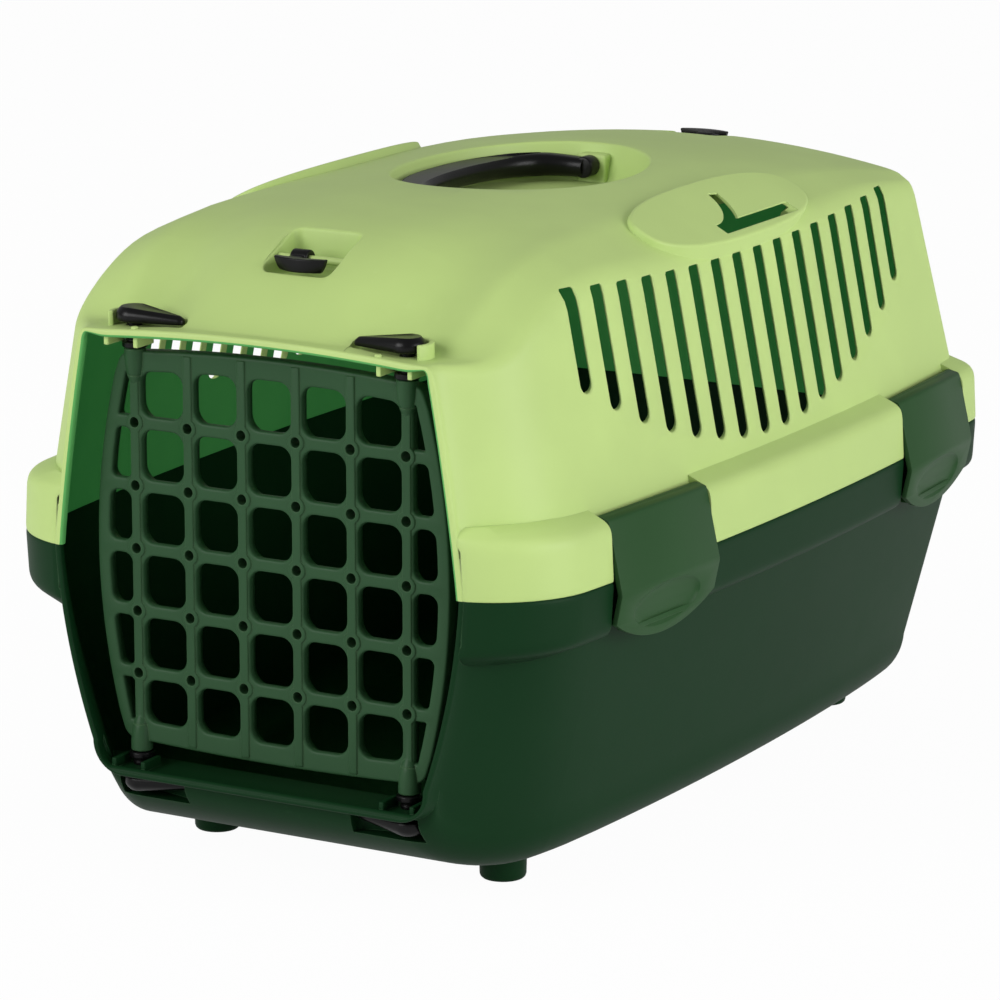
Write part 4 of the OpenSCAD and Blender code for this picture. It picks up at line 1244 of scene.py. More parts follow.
# ------------------------------------------------------------------ moving pieces
@dataclass
class DoorGrille:
    """Barrel-shaped grille with ribbed bars, bored crossings and four pivot bosses."""

    latches: LatchSeats
    thick: float = 9.0
    half_w: float = 94.0
    side_bow: float = 13.5
    side_reach: float = 92.0
    top_z: float = 251.2
    bottom_z: float = 61.7
    bow: float = 3.7
    bow_reach: float = 80.0
    mid_z: float = 155.6
    pitch_x: float = 28.9
    pitch_z: float = 29.7
    bar_w: float = 6.0
    side_border: float = 6.2
    end_border: float = 9.6
    cell_r: float = 6.2
    flare: float = 2.0
    hole_d: float = 5.0
    edge_r: float = 8.0
    rib_h: float = 0.8
    bevel: float = 1.1
    low_stub: float = 58.8
    high_stub: float = 249.89
    boss_r: float = 5.1
    boss_len: float = 17.0
    bore_r: float = 3.8
    bore_len: float = 13.0
    slot_w: float = 5.6

    @property
    def front(self) -> float:
        """Place of the front face along Y."""
        return self.latches.y - 2

    @property
    def bars(self) -> list[float]:
        """Places of the vertical bars along X."""
        return [(k - 2.5) * self.pitch_x for k in range(6)]

    @property
    def rows(self) -> list[float]:
        """Heights of the horizontal bars."""
        return [self.mid_z + (k - 2) * self.pitch_z for k in range(5)]

    def side(self, z: float) -> float:
        """Half width of the door at z."""
        return self.half_w - self.side_bow * ((z - self.mid_z) / self.side_reach) ** 2

    def top(self, x: float) -> float:
        """Height of the door's top edge."""
        return self.top_z - self.bow * (x / self.bow_reach) ** 2

    def bottom(self, x: float) -> float:
        """Height of the door's bottom edge."""
        return self.bottom_z + 0.6 * self.bow * (x / self.bow_reach) ** 2

    def outline(self) -> Plan:
        """Outline of the door, against the clock.

        Returns:
            The outline.
        """
        x1, x0 = self.side(self.top_z), self.side(self.bottom_z)
        right = [(self.side(z), z) for z in (lerp(self.bottom_z, self.top_z, k / 40) for k in range(41))]
        keep = [p for p in right if self.bottom_z + 11 < p[1] < self.top_z - 13]
        low = rounded([(x0 - 20, self.bottom(x0 - 20)), (x0, self.bottom(x0)), keep[0]], self.edge_r, 8)[9:18]
        high = rounded([keep[-1], (x1, self.top(x1)), (x1 - 20, self.top(x1 - 20))], self.edge_r, 8)[9:18]
        half = [(x, self.bottom(x)) for x in (lerp(0, low[0][0], k / 9) for k in range(9))] + low + keep + high
        half += [(x, self.top(x)) for x in (lerp(high[-1][0], 0, k / 9) for k in range(1, 10))]
        return half + [(-x, z) for x, z in reversed(half) if x > 0.01]

    def ends(self, k: int, x: float) -> tuple[float, float]:
        """Lower and upper end at x of the cells in row k; row -1 is the lowest and row 4 the highest.

        Args:
            k: number of the row.
            x: place across.

        Returns:
            The two heights.
        """
        half, rows = self.bar_w / 2, self.rows
        low = self.bottom(x) + self.end_border if k < 0 else rows[k] + half
        high = self.top(x) - self.end_border if k > 3 else rows[k + 1] - half
        return low, high

    def cells(self) -> list[Plan]:
        """Plans of all cells between the bars.

        Returns:
            One plan for each cell.
        """
        out, half, bars = [], self.bar_w / 2, self.bars
        for k in range(-1, 5):
            for i in range(5):
                left, right = bars[i] + half, bars[i + 1] - half
                low, high = zip(*(self.ends(k, x) for x in (left, right)))
                corners = [(left, low[0]), (right, low[1]), (right, high[1]), (left, high[0])]
                out.append(rounded(corners, self.cell_r))
            left = bars[5] + half
            low, high = self.ends(k, left)
            edge = [(self.side(z) - self.side_border, z) for z in (low, (low + high) / 2, high)]
            r = min(self.cell_r, (min(edge[0][0], edge[2][0]) - left) / 2.4)
            plan = rounded([(left, low), *edge, (left, high)], r)
            out += [plan, [(-x, z) for x, z in reversed(plan)]]
        return out

    def plate(self) -> bpy.types.Object:
        """Pierced plate with rounded edges, from a filled flat curve.

        Returns:
            The plate.
        """
        curve = bpy.data.curves.new("door_plate", "CURVE")
        curve.dimensions, curve.fill_mode = "2D", "BOTH"
        curve.bevel_depth, curve.bevel_resolution, curve.offset = self.bevel, 2, -self.bevel
        curve.extrude = (self.thick - self.rib_h) / 2 - self.bevel
        for plan in [self.outline(), *self.cells()]:
            line = curve.splines.new("POLY")
            line.points.add(len(plan) - 1)
            line.points.foreach_set("co", [c for x, z in plan for c in (x, z, 0, 1)])
            line.use_cyclic_u = True
        obj = bpy.data.objects.new("door_plate", curve)
        bpy.context.scene.collection.objects.link(obj)
        Bench.take(obj)
        bpy.ops.object.convert(target="MESH")
        obj = bpy.context.object
        middle = self.front + self.rib_h + (self.thick - self.rib_h) / 2
        obj.data.transform(Matrix.Translation((0, middle, 0)) @ Matrix.Rotation(math.pi / 2, 4, "X"))
        return Bench.close(obj)

    def build(self) -> bpy.types.Object:
        """Builds the grille.

        Returns:
            The grille in millimetres.
        """
        door, y, w = self.plate(), self.front, self.bar_w / 2 - 0.7
        ribs = [Bench.block((x - w, y, self.bottom(x) + 1.6), (x + w, y + 2, self.top(x) - 1.6), 0.6)
                for x in self.bars]
        crossings = [(x, z) for x in self.bars for z in self.rows]
        pads = [Bench.rod((x, y, z), (x, y + 2, z), self.hole_d / 2 + 2.0, 40, 0.6) for x, z in crossings]
        bosses, bores = [], []
        for low, up in ((self.low_stub, 1), (self.high_stub, -1)):
            x, at = self.latches.form.latch_x, self.latches.y
            profile = ((0.0, 0.6), (0.6, 0), (4.0, 0), (9.0, 0.4), (12.5, 1.1), (15.0, 2.0), (self.boss_len, 3.2))
            rounds = [(low + up * z, self.boss_r - less) for z, less in profile]
            bosses.append(Bench.loft([[(px, py, z) for px, py in ellipse(r, r, 48, x, at)] for z, r in rounds]))
            bores.append(Bench.rod((x, at, low - up), (x, at, low + up * self.bore_len), self.bore_r, 32))
        door = Bench.combine(door, ribs + pads + both(bosses), "UNION")
        holes = [Bench.rod((x, y - 2, z), (x, y + self.thick + 2, z), self.hole_d / 2, 32) for x, z in crossings]
        slots, x, half = [], self.latches.form.latch_x, self.slot_w / 2
        for low, up in ((self.low_stub, 1), (self.high_stub, -1)):
            ends = sorted((low - up, low + up * self.bore_len))
            slots.append(Bench.block((x - half, self.latches.y, ends[0]), (x + half, self.latches.y + 20.8, ends[1])))
        depths = ((self.rib_h + self.bevel + 1.6, -0.2), (self.thick - 1.0, self.flare),
                  (self.thick + 1.0, self.flare + 0.4))
        wells = [Bench.loft([[(x, y + d, z) for x, z in grown(plan, o)] for d, o in depths]) for plan in self.cells()]
        return Bench.combine(door, holes + both(bores) + slots + wells, "DIFFERENCE")


@dataclass
class TurnLatch:
    """Lever with its pin, modelled standing on its seat at the origin."""

    latches: LatchSeats
    height: float = 6.6
    bore: float = 4.5
    neck: float = 3.2
    flange_t: float = 3.0
    tip: float = 12.0
    flat: float = 4.2

    def crown(self, x: float) -> float:
        """Height of the lever's top at x, which falls towards the tip."""
        start, seats = -0.35 * self.latches.lever_r, self.latches
        return self.height * (1 if x > start else lerp(1, 0.58, (start - x) / (seats.lever_len + start)))

    def lever(self) -> bpy.types.Object:
        """Wedge with rounded flanks and a narrow top facet.

        Returns:
            The lever.
        """
        gap, flank = self.latches.lever_gap, ((-0.9, 0.0), (-0.25, 0.06), (0.0, 0.16), (0.0, 0.45), (-0.15, 0.58),
                                              (-0.7, 0.74), (-1.6, 0.9), (-2.1, 0.97), (-2.4, 1.0))
        lever = Bench.loft([[(x, y, share * self.crown(x) + gap) for x, y in self.latches.plan(o)]
                            for o, share in flank])
        low = gap - 1
        bore = Bench.rod((0, 0, low), (0, 0, low + 1 + self.bore), self.latches.pin_r, 32)
        return Bench.combine(lever, [bore], "DIFFERENCE")

    def pin(self, seat_t: float) -> bpy.types.Object:
        """Pin with its neck, ringed flange and flattened tip.

        Args:
            seat_t: thickness of the seat that the pin passes.

        Returns:
            The pin.
        """
        r, seats = self.latches.pin_r, self.latches
        top = -seat_t - seats.clear - self.neck
        tip = top - self.flange_t - self.tip
        low = top - self.flange_t
        profile = [(-0.02, seats.lever_gap + self.bore - 0.02), (0, -seat_t - seats.clear + 0.2),
                   (0.7, -seat_t - seats.clear - 0.1), (0.7, top + 1.9), (0.2, top + 1.6), (0.2, top + 1.2),
                   (0.7, top + 0.9), (0.7, top + 0.1), (2.0, top), (2.5, top - 0.5), (2.5, low + 0.5), (2.0, low),
                   (-0.6, low)]
        shaft = Bench.loft([[(x, y, z) for x, y in ellipse(r + wider, r + wider, 48)] for wider, z in profile])
        blade = Bench.rod((0, 0, tip), (0, 0, tip + self.tip + 0.5), r, 48, 0.6)
        near, far, across = self.flat / 2, self.flat / 2 + 5, 9
        sides = [Bench.block((x0, -across, tip - 1), (x1, across, tip + self.tip + 1))
                 for x0, x1 in ((near, far), (-far, -near))]
        return Bench.combine(shaft, [Bench.combine(blade, sides, "DIFFERENCE")], "UNION")

    def placed(self, obj: bpy.types.Object, side: int, top: bool) -> bpy.types.Object:
        """Moves a lever or pin to its seat.

        Args:
            obj: the piece at the origin.
            side: 1 for the right, -1 for the left.
            top: true for the upper seats.

        Returns:
            The same piece.
        """
        f = self.latches.form
        place = Matrix.Translation((f.latch_x, self.latches.y, self.latches.deck if top else f.sill - f.sill_t))
        turn = Matrix.Identity(4) if top else Matrix.Diagonal((1, 1, -1, 1))
        whole = (MIRROR if side < 0 else Matrix.Identity(4)) @ place @ turn
        obj.data.transform(whole)
        if whole.determinant() < 0:
            obj.data.flip_normals()
        return obj


@dataclass
class RimClip:
    """Clip that hinges on the upper rim and hooks under the lower one, modelled in its seat's frame."""

    seats: ClipSeats
    thick: float = 2.6
    proud: float = 4.0
    tab: float = 12.0
    catch_t: float = 2.5
    catch_in: float = 7.0
    catch_w: float = 60.0
    peg_len: float = 2.5
    pad_w: float = 56.0
    pad_h: float = 20.5
    pad_down: float = 17.4

    @property
    def face(self) -> list[tuple[float, float]]:
        """Corners of the outer face, X out of the rim and Z up.

        Returns:
            The corners from the hinge to the tab.
        """
        s, part = self.seats, self.seats.form.part
        return [(-s.hub_in, s.hub_z + s.hub_r), (-4.6, s.hub_z + 1.6), (-3.6, s.hub_z + 0.8), (self.proud, part - 6),
                (self.proud - 2.8, part - 19), (self.proud - 5, part - 32)]

    def outline(self) -> Plan:
        """Outline seen from the side of the body: straight above, an arc below.

        Returns:
            The outline.
        """
        low, half, up = self.face[5][1], self.seats.width / 2, self.seats.hub_z + self.seats.hub_r + 1
        r = (half**2 + self.tab**2) / (2 * self.tab)
        arc = [(y, low + r - math.sqrt(r * r - y * y)) for y in (lerp(-half, half, k / 36) for k in range(37))]
        return arc + [(half, up), (-half, up)]

    def build(self) -> bpy.types.Object:
        """Builds the clip.

        Returns:
            The clip in its seat's frame.
        """
        s, half, face = self.seats, self.seats.width / 2, self.face
        inner = [(face[k][0] - self.thick, face[k][1] - (self.thick if k == 2 else 0)) for k in (5, 4, 3, 2)]
        outer = soften(face, 1.6, 4)
        profile = outer + inner + [(-s.hub_in, s.hub_z - s.hub_r * 0.4)]
        shell = Bench.loft([[(x, y, z) for x, z in profile] for y in (-half - 1, half + 1)])
        trim = Bench.loft([[(x, y, z) for y, z in self.outline()] for x in (-30.0, 30.0)])
        shell = Bench.combine(shell, [trim], "INTERSECT")
        shell = Bench.combine(shell, [self.pad()], "DIFFERENCE")
        Bench.bevel(shell, 0.55, 2, 28)
        hub = Bench.rod((-s.hub_in, -half, s.hub_z), (-s.hub_in, half, s.hub_z), s.hub_r, 40, 0.4)
        reach = s.notch / 2 + self.peg_len
        pegs = Bench.rod((-s.hub_in, -reach, s.hub_z), (-s.hub_in, reach, s.hub_z), s.peg_r, 24, 0.4)
        top = s.catch_z - s.clear
        across = self.catch_w / 2
        catch = Bench.block((s.clear - self.catch_in, -across, top - self.catch_t), (0, across, top), 0.4)
        return Bench.combine(shell, [hub, pegs, catch], "UNION")

    def face_x(self, z: float) -> float:
        """Place of the outer face at height z, under the crease.

        Args:
            z: height.

        Returns:
            Its place out of the rim.
        """
        for high, low in zip(self.face[3:5], self.face[4:]):
            if z >= low[1] or low is self.face[5]:
                return lerp(high[0], low[0], (high[1] - z) / (high[1] - low[1]))
        return self.face[5][0]

    def pad(self) -> bpy.types.Object:
        """Cutter of the oval thumb dish under the crease.

        Returns:
            The cutter.
        """
        plan = ellipse(self.pad_w / 2, self.pad_h / 2, 72, 0.0, self.seats.form.part - self.pad_down)
        rings = []
        for depth, o in ((4.0, 0.6), (0.1, 0.6), (-0.35, 0.0), (-0.95, -0.9), (-1.35, -2.4), (-1.5, -4.6)):
            rings.append([(self.face_x(z) + depth, y, z) for y, z in grown(plan, o)])
        return Bench.loft(rings)


@dataclass
class CarryHandle:
    """Bail handle with a broad grip and a sunk panel on its top."""

    middle: float = 7.0
    pivot_z: float = 296.5
    half: float = 67.0
    hub_len: float = 9.0
    reach: float = 42.6
    hub_d: float = 10.8
    arm_d: float = 12.8
    grip_w: float = 18.4
    peg_r: float = 2.4
    peg_len: float = 3.6
    power: float = 2.42
    rise: float = 0.8

    def path(self, steps: int = 30) -> list[tuple[float, float]]:
        """Middle line of the handle, from one pivot round the grip to the other.

        Args:
            steps: pieces of each half.

        Returns:
            Points across and along.
        """
        span = self.half + self.hub_len / 2 - self.hub_d / 2
        out = []
        for k in range(2 * steps + 1):
            a = math.pi * k / (2 * steps)
            s, c = math.sin(a), math.cos(a)
            out.append((-self.reach * s ** (2 / self.power), math.copysign(span * abs(c) ** (2 / self.power), c)))
        return out

    def on_pivot(self, d: float) -> Point:
        """Point of the pivot line at distance d from its middle."""
        return (0, self.middle + d, self.pivot_z)

    def width(self, x: float) -> float:
        """Width of the bar at x."""
        arm, grip = min(1.0, abs(x) / 14), max(0.0, min(1.0, (abs(x) / self.reach - 0.55) / 0.4))
        return lerp(lerp(self.hub_d, self.arm_d, arm), self.grip_w, grip**1.5)

    def deep(self, share: float) -> float:
        """Half height of the bar at its share along the path."""
        return lerp(self.hub_d, self.arm_d, min(1.0, min(share, 1 - share) / 0.16)) / 2

    def rings(self, section: Callable[[float, float], list[tuple[float, float]]]) -> list[list[Point]]:
        """Rings along the path.

        Args:
            section: cross-section, sideways and up, from the bar's width and its share along the path.

        Returns:
            The rings.
        """
        path, out = self.path(), []
        last = len(path) - 1
        for k, p in enumerate(path):
            if 0 < k < last:
                d = (Vector(path[k + 1]) - Vector(path[k - 1])).normalized()
            else:
                d = Vector((-1 if k == 0 else 1, 0))
            out.append([(p[0] + d.y * u, self.middle + p[1] - d.x * u, self.pivot_z + v)
                        for u, v in section(self.width(p[0]), k / last)])
        return out

    def bar(self, width: float, share: float) -> list[tuple[float, float]]:
        """Rounded cross-section with a flattened top.

        Args:
            width: width of the bar.
            share: share along the path.

        Returns:
            Points across and up.
        """
        h, out = self.deep(share), []
        for k in range(32):
            a = -2 * math.pi * k / 32
            v = h * math.sin(a)
            limit = 0.78 * h
            v = v if v < limit else limit + (v - limit) * 0.36
            out.append((width / 2 * math.cos(a), v + self.lift(share)))
        return out

    def lift(self, share: float) -> float:
        """Rise of the bar above its pivots at its share along the path."""
        return self.rise * min(1.0, min(share, 1 - share) / 0.12)

    def panel(self, width: float, share: float) -> list[tuple[float, float]]:
        """Cross-section of the cutter of the sunk panel.

        Args:
            width: width of the bar.
            share: share along the path.

        Returns:
            Points across and up.
        """
        fade = max(0.0, min(1.0, (0.36 - abs(share - 0.5)) / 0.16))
        half = max(0.05, (width / 2 - 2.4) * fade**0.6)
        low = 0.86 * self.deep(share) + self.lift(share) - 1.3 if fade > 0 else self.arm_d
        return [(half + 0.9, self.arm_d), (half, low), (-half, low), (-half - 0.9, self.arm_d)]

    def build(self) -> bpy.types.Object:
        """Builds the handle.

        Returns:
            The handle in millimetres.
        """
        bar = Bench.loft(self.rings(self.bar))
        cutter = Bench.loft([ring for k, ring in enumerate(self.rings(self.panel)) if 9 <= k <= 51])
        bar = Bench.combine(bar, [cutter], "DIFFERENCE")
        ends = []
        for s in (-1, 1):
            start, middle, end = (self.half + share * self.hub_len / 2 for share in (-1, 0, 1))
            ends.append(Bench.rod(self.on_pivot(s * start), self.on_pivot(s * end), self.hub_d / 2, 48, 0.8))
            tip = self.on_pivot(s * (end + self.peg_len))
            ends.append(Bench.rod(self.on_pivot(s * middle), tip, self.peg_r, 32, 0.3))
        return Bench.combine(bar, ends, "UNION")


@dataclass
class StrapEye:
    """Curved tongue on its barrel; the barrel lies on X and the tongue reaches towards -Y."""

    width: float = 27.0
    length: float = 17.5
    bulge: float = 3.4
    plate: float = 4.4
    hub_r: float = 4.3
    barrel: float = 9.0
    shift: float = 5.5
    side: float = 1.6
    bore_r: float = 2.1

    def hull(self) -> bpy.types.Object:
        """Tongue whose front is bowed and whose ends run in towards the bottom, as a boat's.

        Returns:
            The tongue.
        """
        xs = [lerp(-1, 1, k / 24) for k in range(25)]
        front = [(x * self.width / 2, -self.length + self.bulge * x * x) for x in xs]
        back = [(x * self.width / 2, -self.length + self.plate * (1 - 0.45 * x * x) + self.bulge * x * x)
                for x in reversed(xs)]
        levels = ((-3.3, 0.78, 0.9), (-2.9, 0.81, 0.4), (-1.5, 0.88, 0.1), (0.6, 0.95, 0.0), (2.7, 1.0, 0.0),
                  (3.1, 0.985, 0.3))
        rings = []
        for z, wide, inset in levels:
            outline = [(x, y + inset) for x, y in front] + [(x, y - inset * 0.5) for x, y in back]
            rings.append([(self.side + x * wide, y, z) for x, y in outline])
        return Bench.loft(rings)

    def build(self, place: Matrix) -> bpy.types.Object:
        """Builds the eye at its place.

        Args:
            place: where the middle of its bore goes.

        Returns:
            The eye in millimetres.
        """
        ends = (-self.barrel / 2 - self.shift, self.barrel / 2 - self.shift)
        neck = Bench.block((ends[0] + 1, -self.length + self.bulge, -2.2), (ends[1] - 1, 0, 2.0), 0.8)
        barrel = Bench.rod((ends[0], 0, 0), (ends[1], 0, 0), self.hub_r, 48, 0.7)
        bore = Bench.rod((-self.width, 0, 0), (self.width, 0, 0), self.bore_r, 32)
        eye = Bench.combine(self.hull(), [neck, barrel], "UNION")
        eye = Bench.combine(eye, [bore], "DIFFERENCE")
        eye.data.transform(place)
        return eye


# ------------------------------------------------------------------ finishes
class Val:
    """Number socket with operators; an expression on it adds the Math nodes."""

    def __init__(self, graph: "Graph", socket: bpy.types.NodeSocket) -> None:
        """Wraps a socket of graph."""
        self.graph, self.socket = graph, socket

    def _math(self, operation: str, a: "Val | float", b: "Val | float" = 0.0) -> "Val":
        """Adds one Math node."""
        node = self.graph.node("ShaderNodeMath", {"operation": operation}, {0: a, 1: b})
        return Val(self.graph, node.outputs[0])

    def capped(self) -> "Val":
        """The value, at most 1."""
        return self._math("MINIMUM", self, 1.0)

    def __add__(self, other: "Val | float") -> "Val":
        """Sum."""
        return self._math("ADD", self, other)

    def __sub__(self, other: "Val | float") -> "Val":
        """Difference."""
        return self._math("SUBTRACT", self, other)

    def __rsub__(self, other: float) -> "Val":
        """Difference from a number."""
        return self._math("SUBTRACT", other, self)

    def __mul__(self, other: "Val | float") -> "Val":
        """Product."""
        return self._math("MULTIPLY", self, other)

    def above(self, low: float, high: float) -> "Val":
        """0 below low and 1 above high, smooth between them.

        Args:
            low: where it starts to rise.
            high: where it has risen.

        Returns:
            The share risen.
        """
        sockets = {0: self, 1: low, 2: high, 3: 0.0, 4: 1.0}
        node = self.graph.node("ShaderNodeMapRange", {"interpolation_type": "SMOOTHSTEP"}, sockets)
        return Val(self.graph, node.outputs[0])

    __radd__ = __add__
    __rmul__ = __mul__


class Graph:
    """Node tree of one material or of the surroundings."""

    def __init__(self, owner: bpy.types.Material | bpy.types.World) -> None:
        """Empties the owner's node tree."""
        owner.use_nodes = True
        self.owner, self.tree = owner, owner.node_tree
        self.tree.nodes.clear()

    def node(self, kind: str, settings: dict[str, object] | None = None,
             sockets: dict[int | str, object] | None = None) -> bpy.types.Node:
        """Adds a node.

        Args:
            kind: the node's type.
            settings: attributes, set first.
            sockets: a value or a link for each input.

        Returns:
            The node.
        """
        node = self.tree.nodes.new(kind)
        for key, value in (settings or {}).items():
            setattr(node, key, value)
        for key, value in (sockets or {}).items():
            value = value.socket if isinstance(value, Val) else value
            if isinstance(value, bpy.types.NodeSocket):
                self.tree.links.new(value, node.inputs[key])
            else:
                node.inputs[key].default_value = value
        return node

    def noise(self, scale: float, detail: float = 2.0, stretch: Point = (1, 1, 1), rough: float = 0.5) -> Val:
        """Noise on object coordinates; scale is in features per metre.

        Args:
            scale: features per metre.
            detail: finer layers.
            stretch: factor on each axis.
            rough: strength of the finer layers.

        Returns:
            The noise as a number.
        """
        place = self.node("ShaderNodeTexCoord").outputs["Object"]
        if stretch != (1, 1, 1):
            place = self.node("ShaderNodeMapping", None, {"Vector": place, "Scale": stretch}).outputs[0]
        sockets = {"Vector": place, "Scale": scale, "Detail": detail, "Roughness": rough}
        noise = self.node("ShaderNodeTexNoise", None, sockets)
        return Val(self, noise.outputs[0])

    def mix(self, share: Val, a: object, b: object) -> bpy.types.NodeSocket:
        """Mixes two colours."""
        return self.node("ShaderNodeMix", {"data_type": "RGBA"}, {0: share, 6: a, 7: b}).outputs[2]


def linear(colour: Point) -> tuple[float, float, float, float]:
    """Scene colour of a display colour given in 0 to 255."""
    return (*(((c / 255 + 0.055) / 1.055) ** 2.4 if c > 10 else c / 255 / 12.92 for c in colour), 1.0)


class Wear(Enum):
    """How much a moulded surface is handled, as the strength of its scuffs."""

    STILL = 0.25
    HANDLED = 0.6
    RUBBED = 1.0


@dataclass(frozen=True)
class Moulded:
    """Finish of an injection-moulded plastic.

    Args:
        name: the material's name.
        colour: main colour, in display values.
        edge: lighter colour of the edges and the scuffs, in display values; on the edges it is partly wear and partly a
            painted highlight.
        rough: mean roughness.
        grain: depth of the grain in metres.
        grain_scale: its features per metre.
        round_r: radius of the rounded edges and of the lightened edge band, in metres.
        specular: specular level.
        wear: how much it is handled.
        glow: colour of a painted glow, emitted from the surface in place of light coming through a thin wall, in
            display values.
    """

    name: str
    colour: Point
    edge: Point
    rough: float = 0.42
    grain: float = 0.00004
    grain_scale: float = 900.0
    round_r: float = 0.0006
    specular: float = 0.4
    wear: Wear = Wear.HANDLED
    glow: Point | None = None

    def material(self) -> bpy.types.Material:
        """Builds the material.

        Returns:
            The material.
        """
        g = Graph(bpy.data.materials.new(self.name))
        bevel = g.node("ShaderNodeBevel", {"samples": 4}, {"Radius": self.round_r})
        flat = g.node("ShaderNodeNewGeometry").outputs["Normal"]
        turned = g.node("ShaderNodeVectorMath", {"operation": "DOT_PRODUCT"}, {0: bevel.outputs[0], 1: flat})
        edge = (1 - Val(g, turned.outputs["Value"])).above(0.02, 0.2)
        cloud = g.noise(9, 3)
        mottle = g.noise(60, 2)
        grain = g.noise(self.grain_scale, 1.5, rough=0.6)
        scuff = g.noise(160, 3, (1, 0.2, 1)).above(0.66, 0.76) * g.noise(14, 2).above(0.52, 0.68)
        dark = [c * 0.975 for c in self.colour]
        light = [min(255.0, c * 1.02 + 1) for c in self.colour]
        base = g.mix(cloud.above(0.35, 0.65) * 0.7 + mottle * 0.3, linear(dark), linear(light))
        # Edges lightened towards the edge colour: partly wear, partly a painted highlight on the rounded edges.
        base = g.mix(edge * 0.55 * (0.6 + mottle * 0.8), base, linear(self.edge))
        base = g.mix(scuff * 0.12 * self.wear.value, base, linear(self.edge))
        rough = self.rough + (cloud - 0.5) * 0.05 + (mottle - 0.5) * 0.04
        rough = rough + scuff * 0.1 * self.wear.value - edge * 0.06
        bump = g.node("ShaderNodeBump", None, {
            "Strength": 1.0, "Distance": self.grain, "Height": grain, "Normal": bevel.outputs[0]})
        sockets = {"Base Color": base, "Roughness": rough, "Normal": bump.outputs[0],
                   "Specular IOR Level": self.specular, "IOR": 1.49}
        # Painted glow: emission that stands in for light coming through the thin wall.
        if self.glow:
            dim = linear([c * 0.85 for c in self.glow])
            sockets |= {"Emission Strength": 1.0, "Emission Color": g.mix(cloud, dim, linear(self.glow))}
        shader = g.node("ShaderNodeBsdfPrincipled", None, sockets)
        g.node("ShaderNodeOutputMaterial", None, {"Surface": shader.outputs[0]})
        return g.owner


# The second colour of each finish lightens its edges and scuffs: partly wear, partly a painted highlight.
UPPER = Moulded("upper_plastic", (184, 209, 128), (206, 226, 158), 0.48, 0.00003, specular=0.3)
# Inside of the upper shell: a darker copy of the shell's colour as painted shade, with an emitted painted glow.
UPPER_INSIDE_SHADE_GLOW = Moulded("upper_inside_painted_shade_glow", (92, 160, 88), (110, 176, 96), 0.5, 0.00002, specular=0.1,
                       wear=Wear.STILL, glow=(14, 62, 26))
TUB = Moulded("tub_plastic", (15, 49, 24), (76, 112, 78), 0.46, 0.00003, specular=0.08)
DOOR = Moulded("door_plastic", (44, 76, 48), (96, 130, 92), 0.4, 0.00002, 1100, 0.0008, 0.14)
CLIP = Moulded("clip_plastic", (40, 74, 40), (86, 118, 80), 0.42, 0.00002, 1100, 0.0005, 0.12)
LATCH = Moulded("latch_plastic", (6, 6, 7), (40, 38, 38), 0.3, 0.00002, 1300, 0.0005, 0.22)
HANDLE = Moulded("handle_plastic", (6, 6, 7), (40, 38, 39), 0.32, 0.00004, 700, 0.0006, 0.22, Wear.RUBBED)
EYE = Moulded("eye_plastic", (6, 6, 7), (38, 37, 37), 0.34, 0.00002, 1300, 0.0005, 0.22, Wear.STILL)


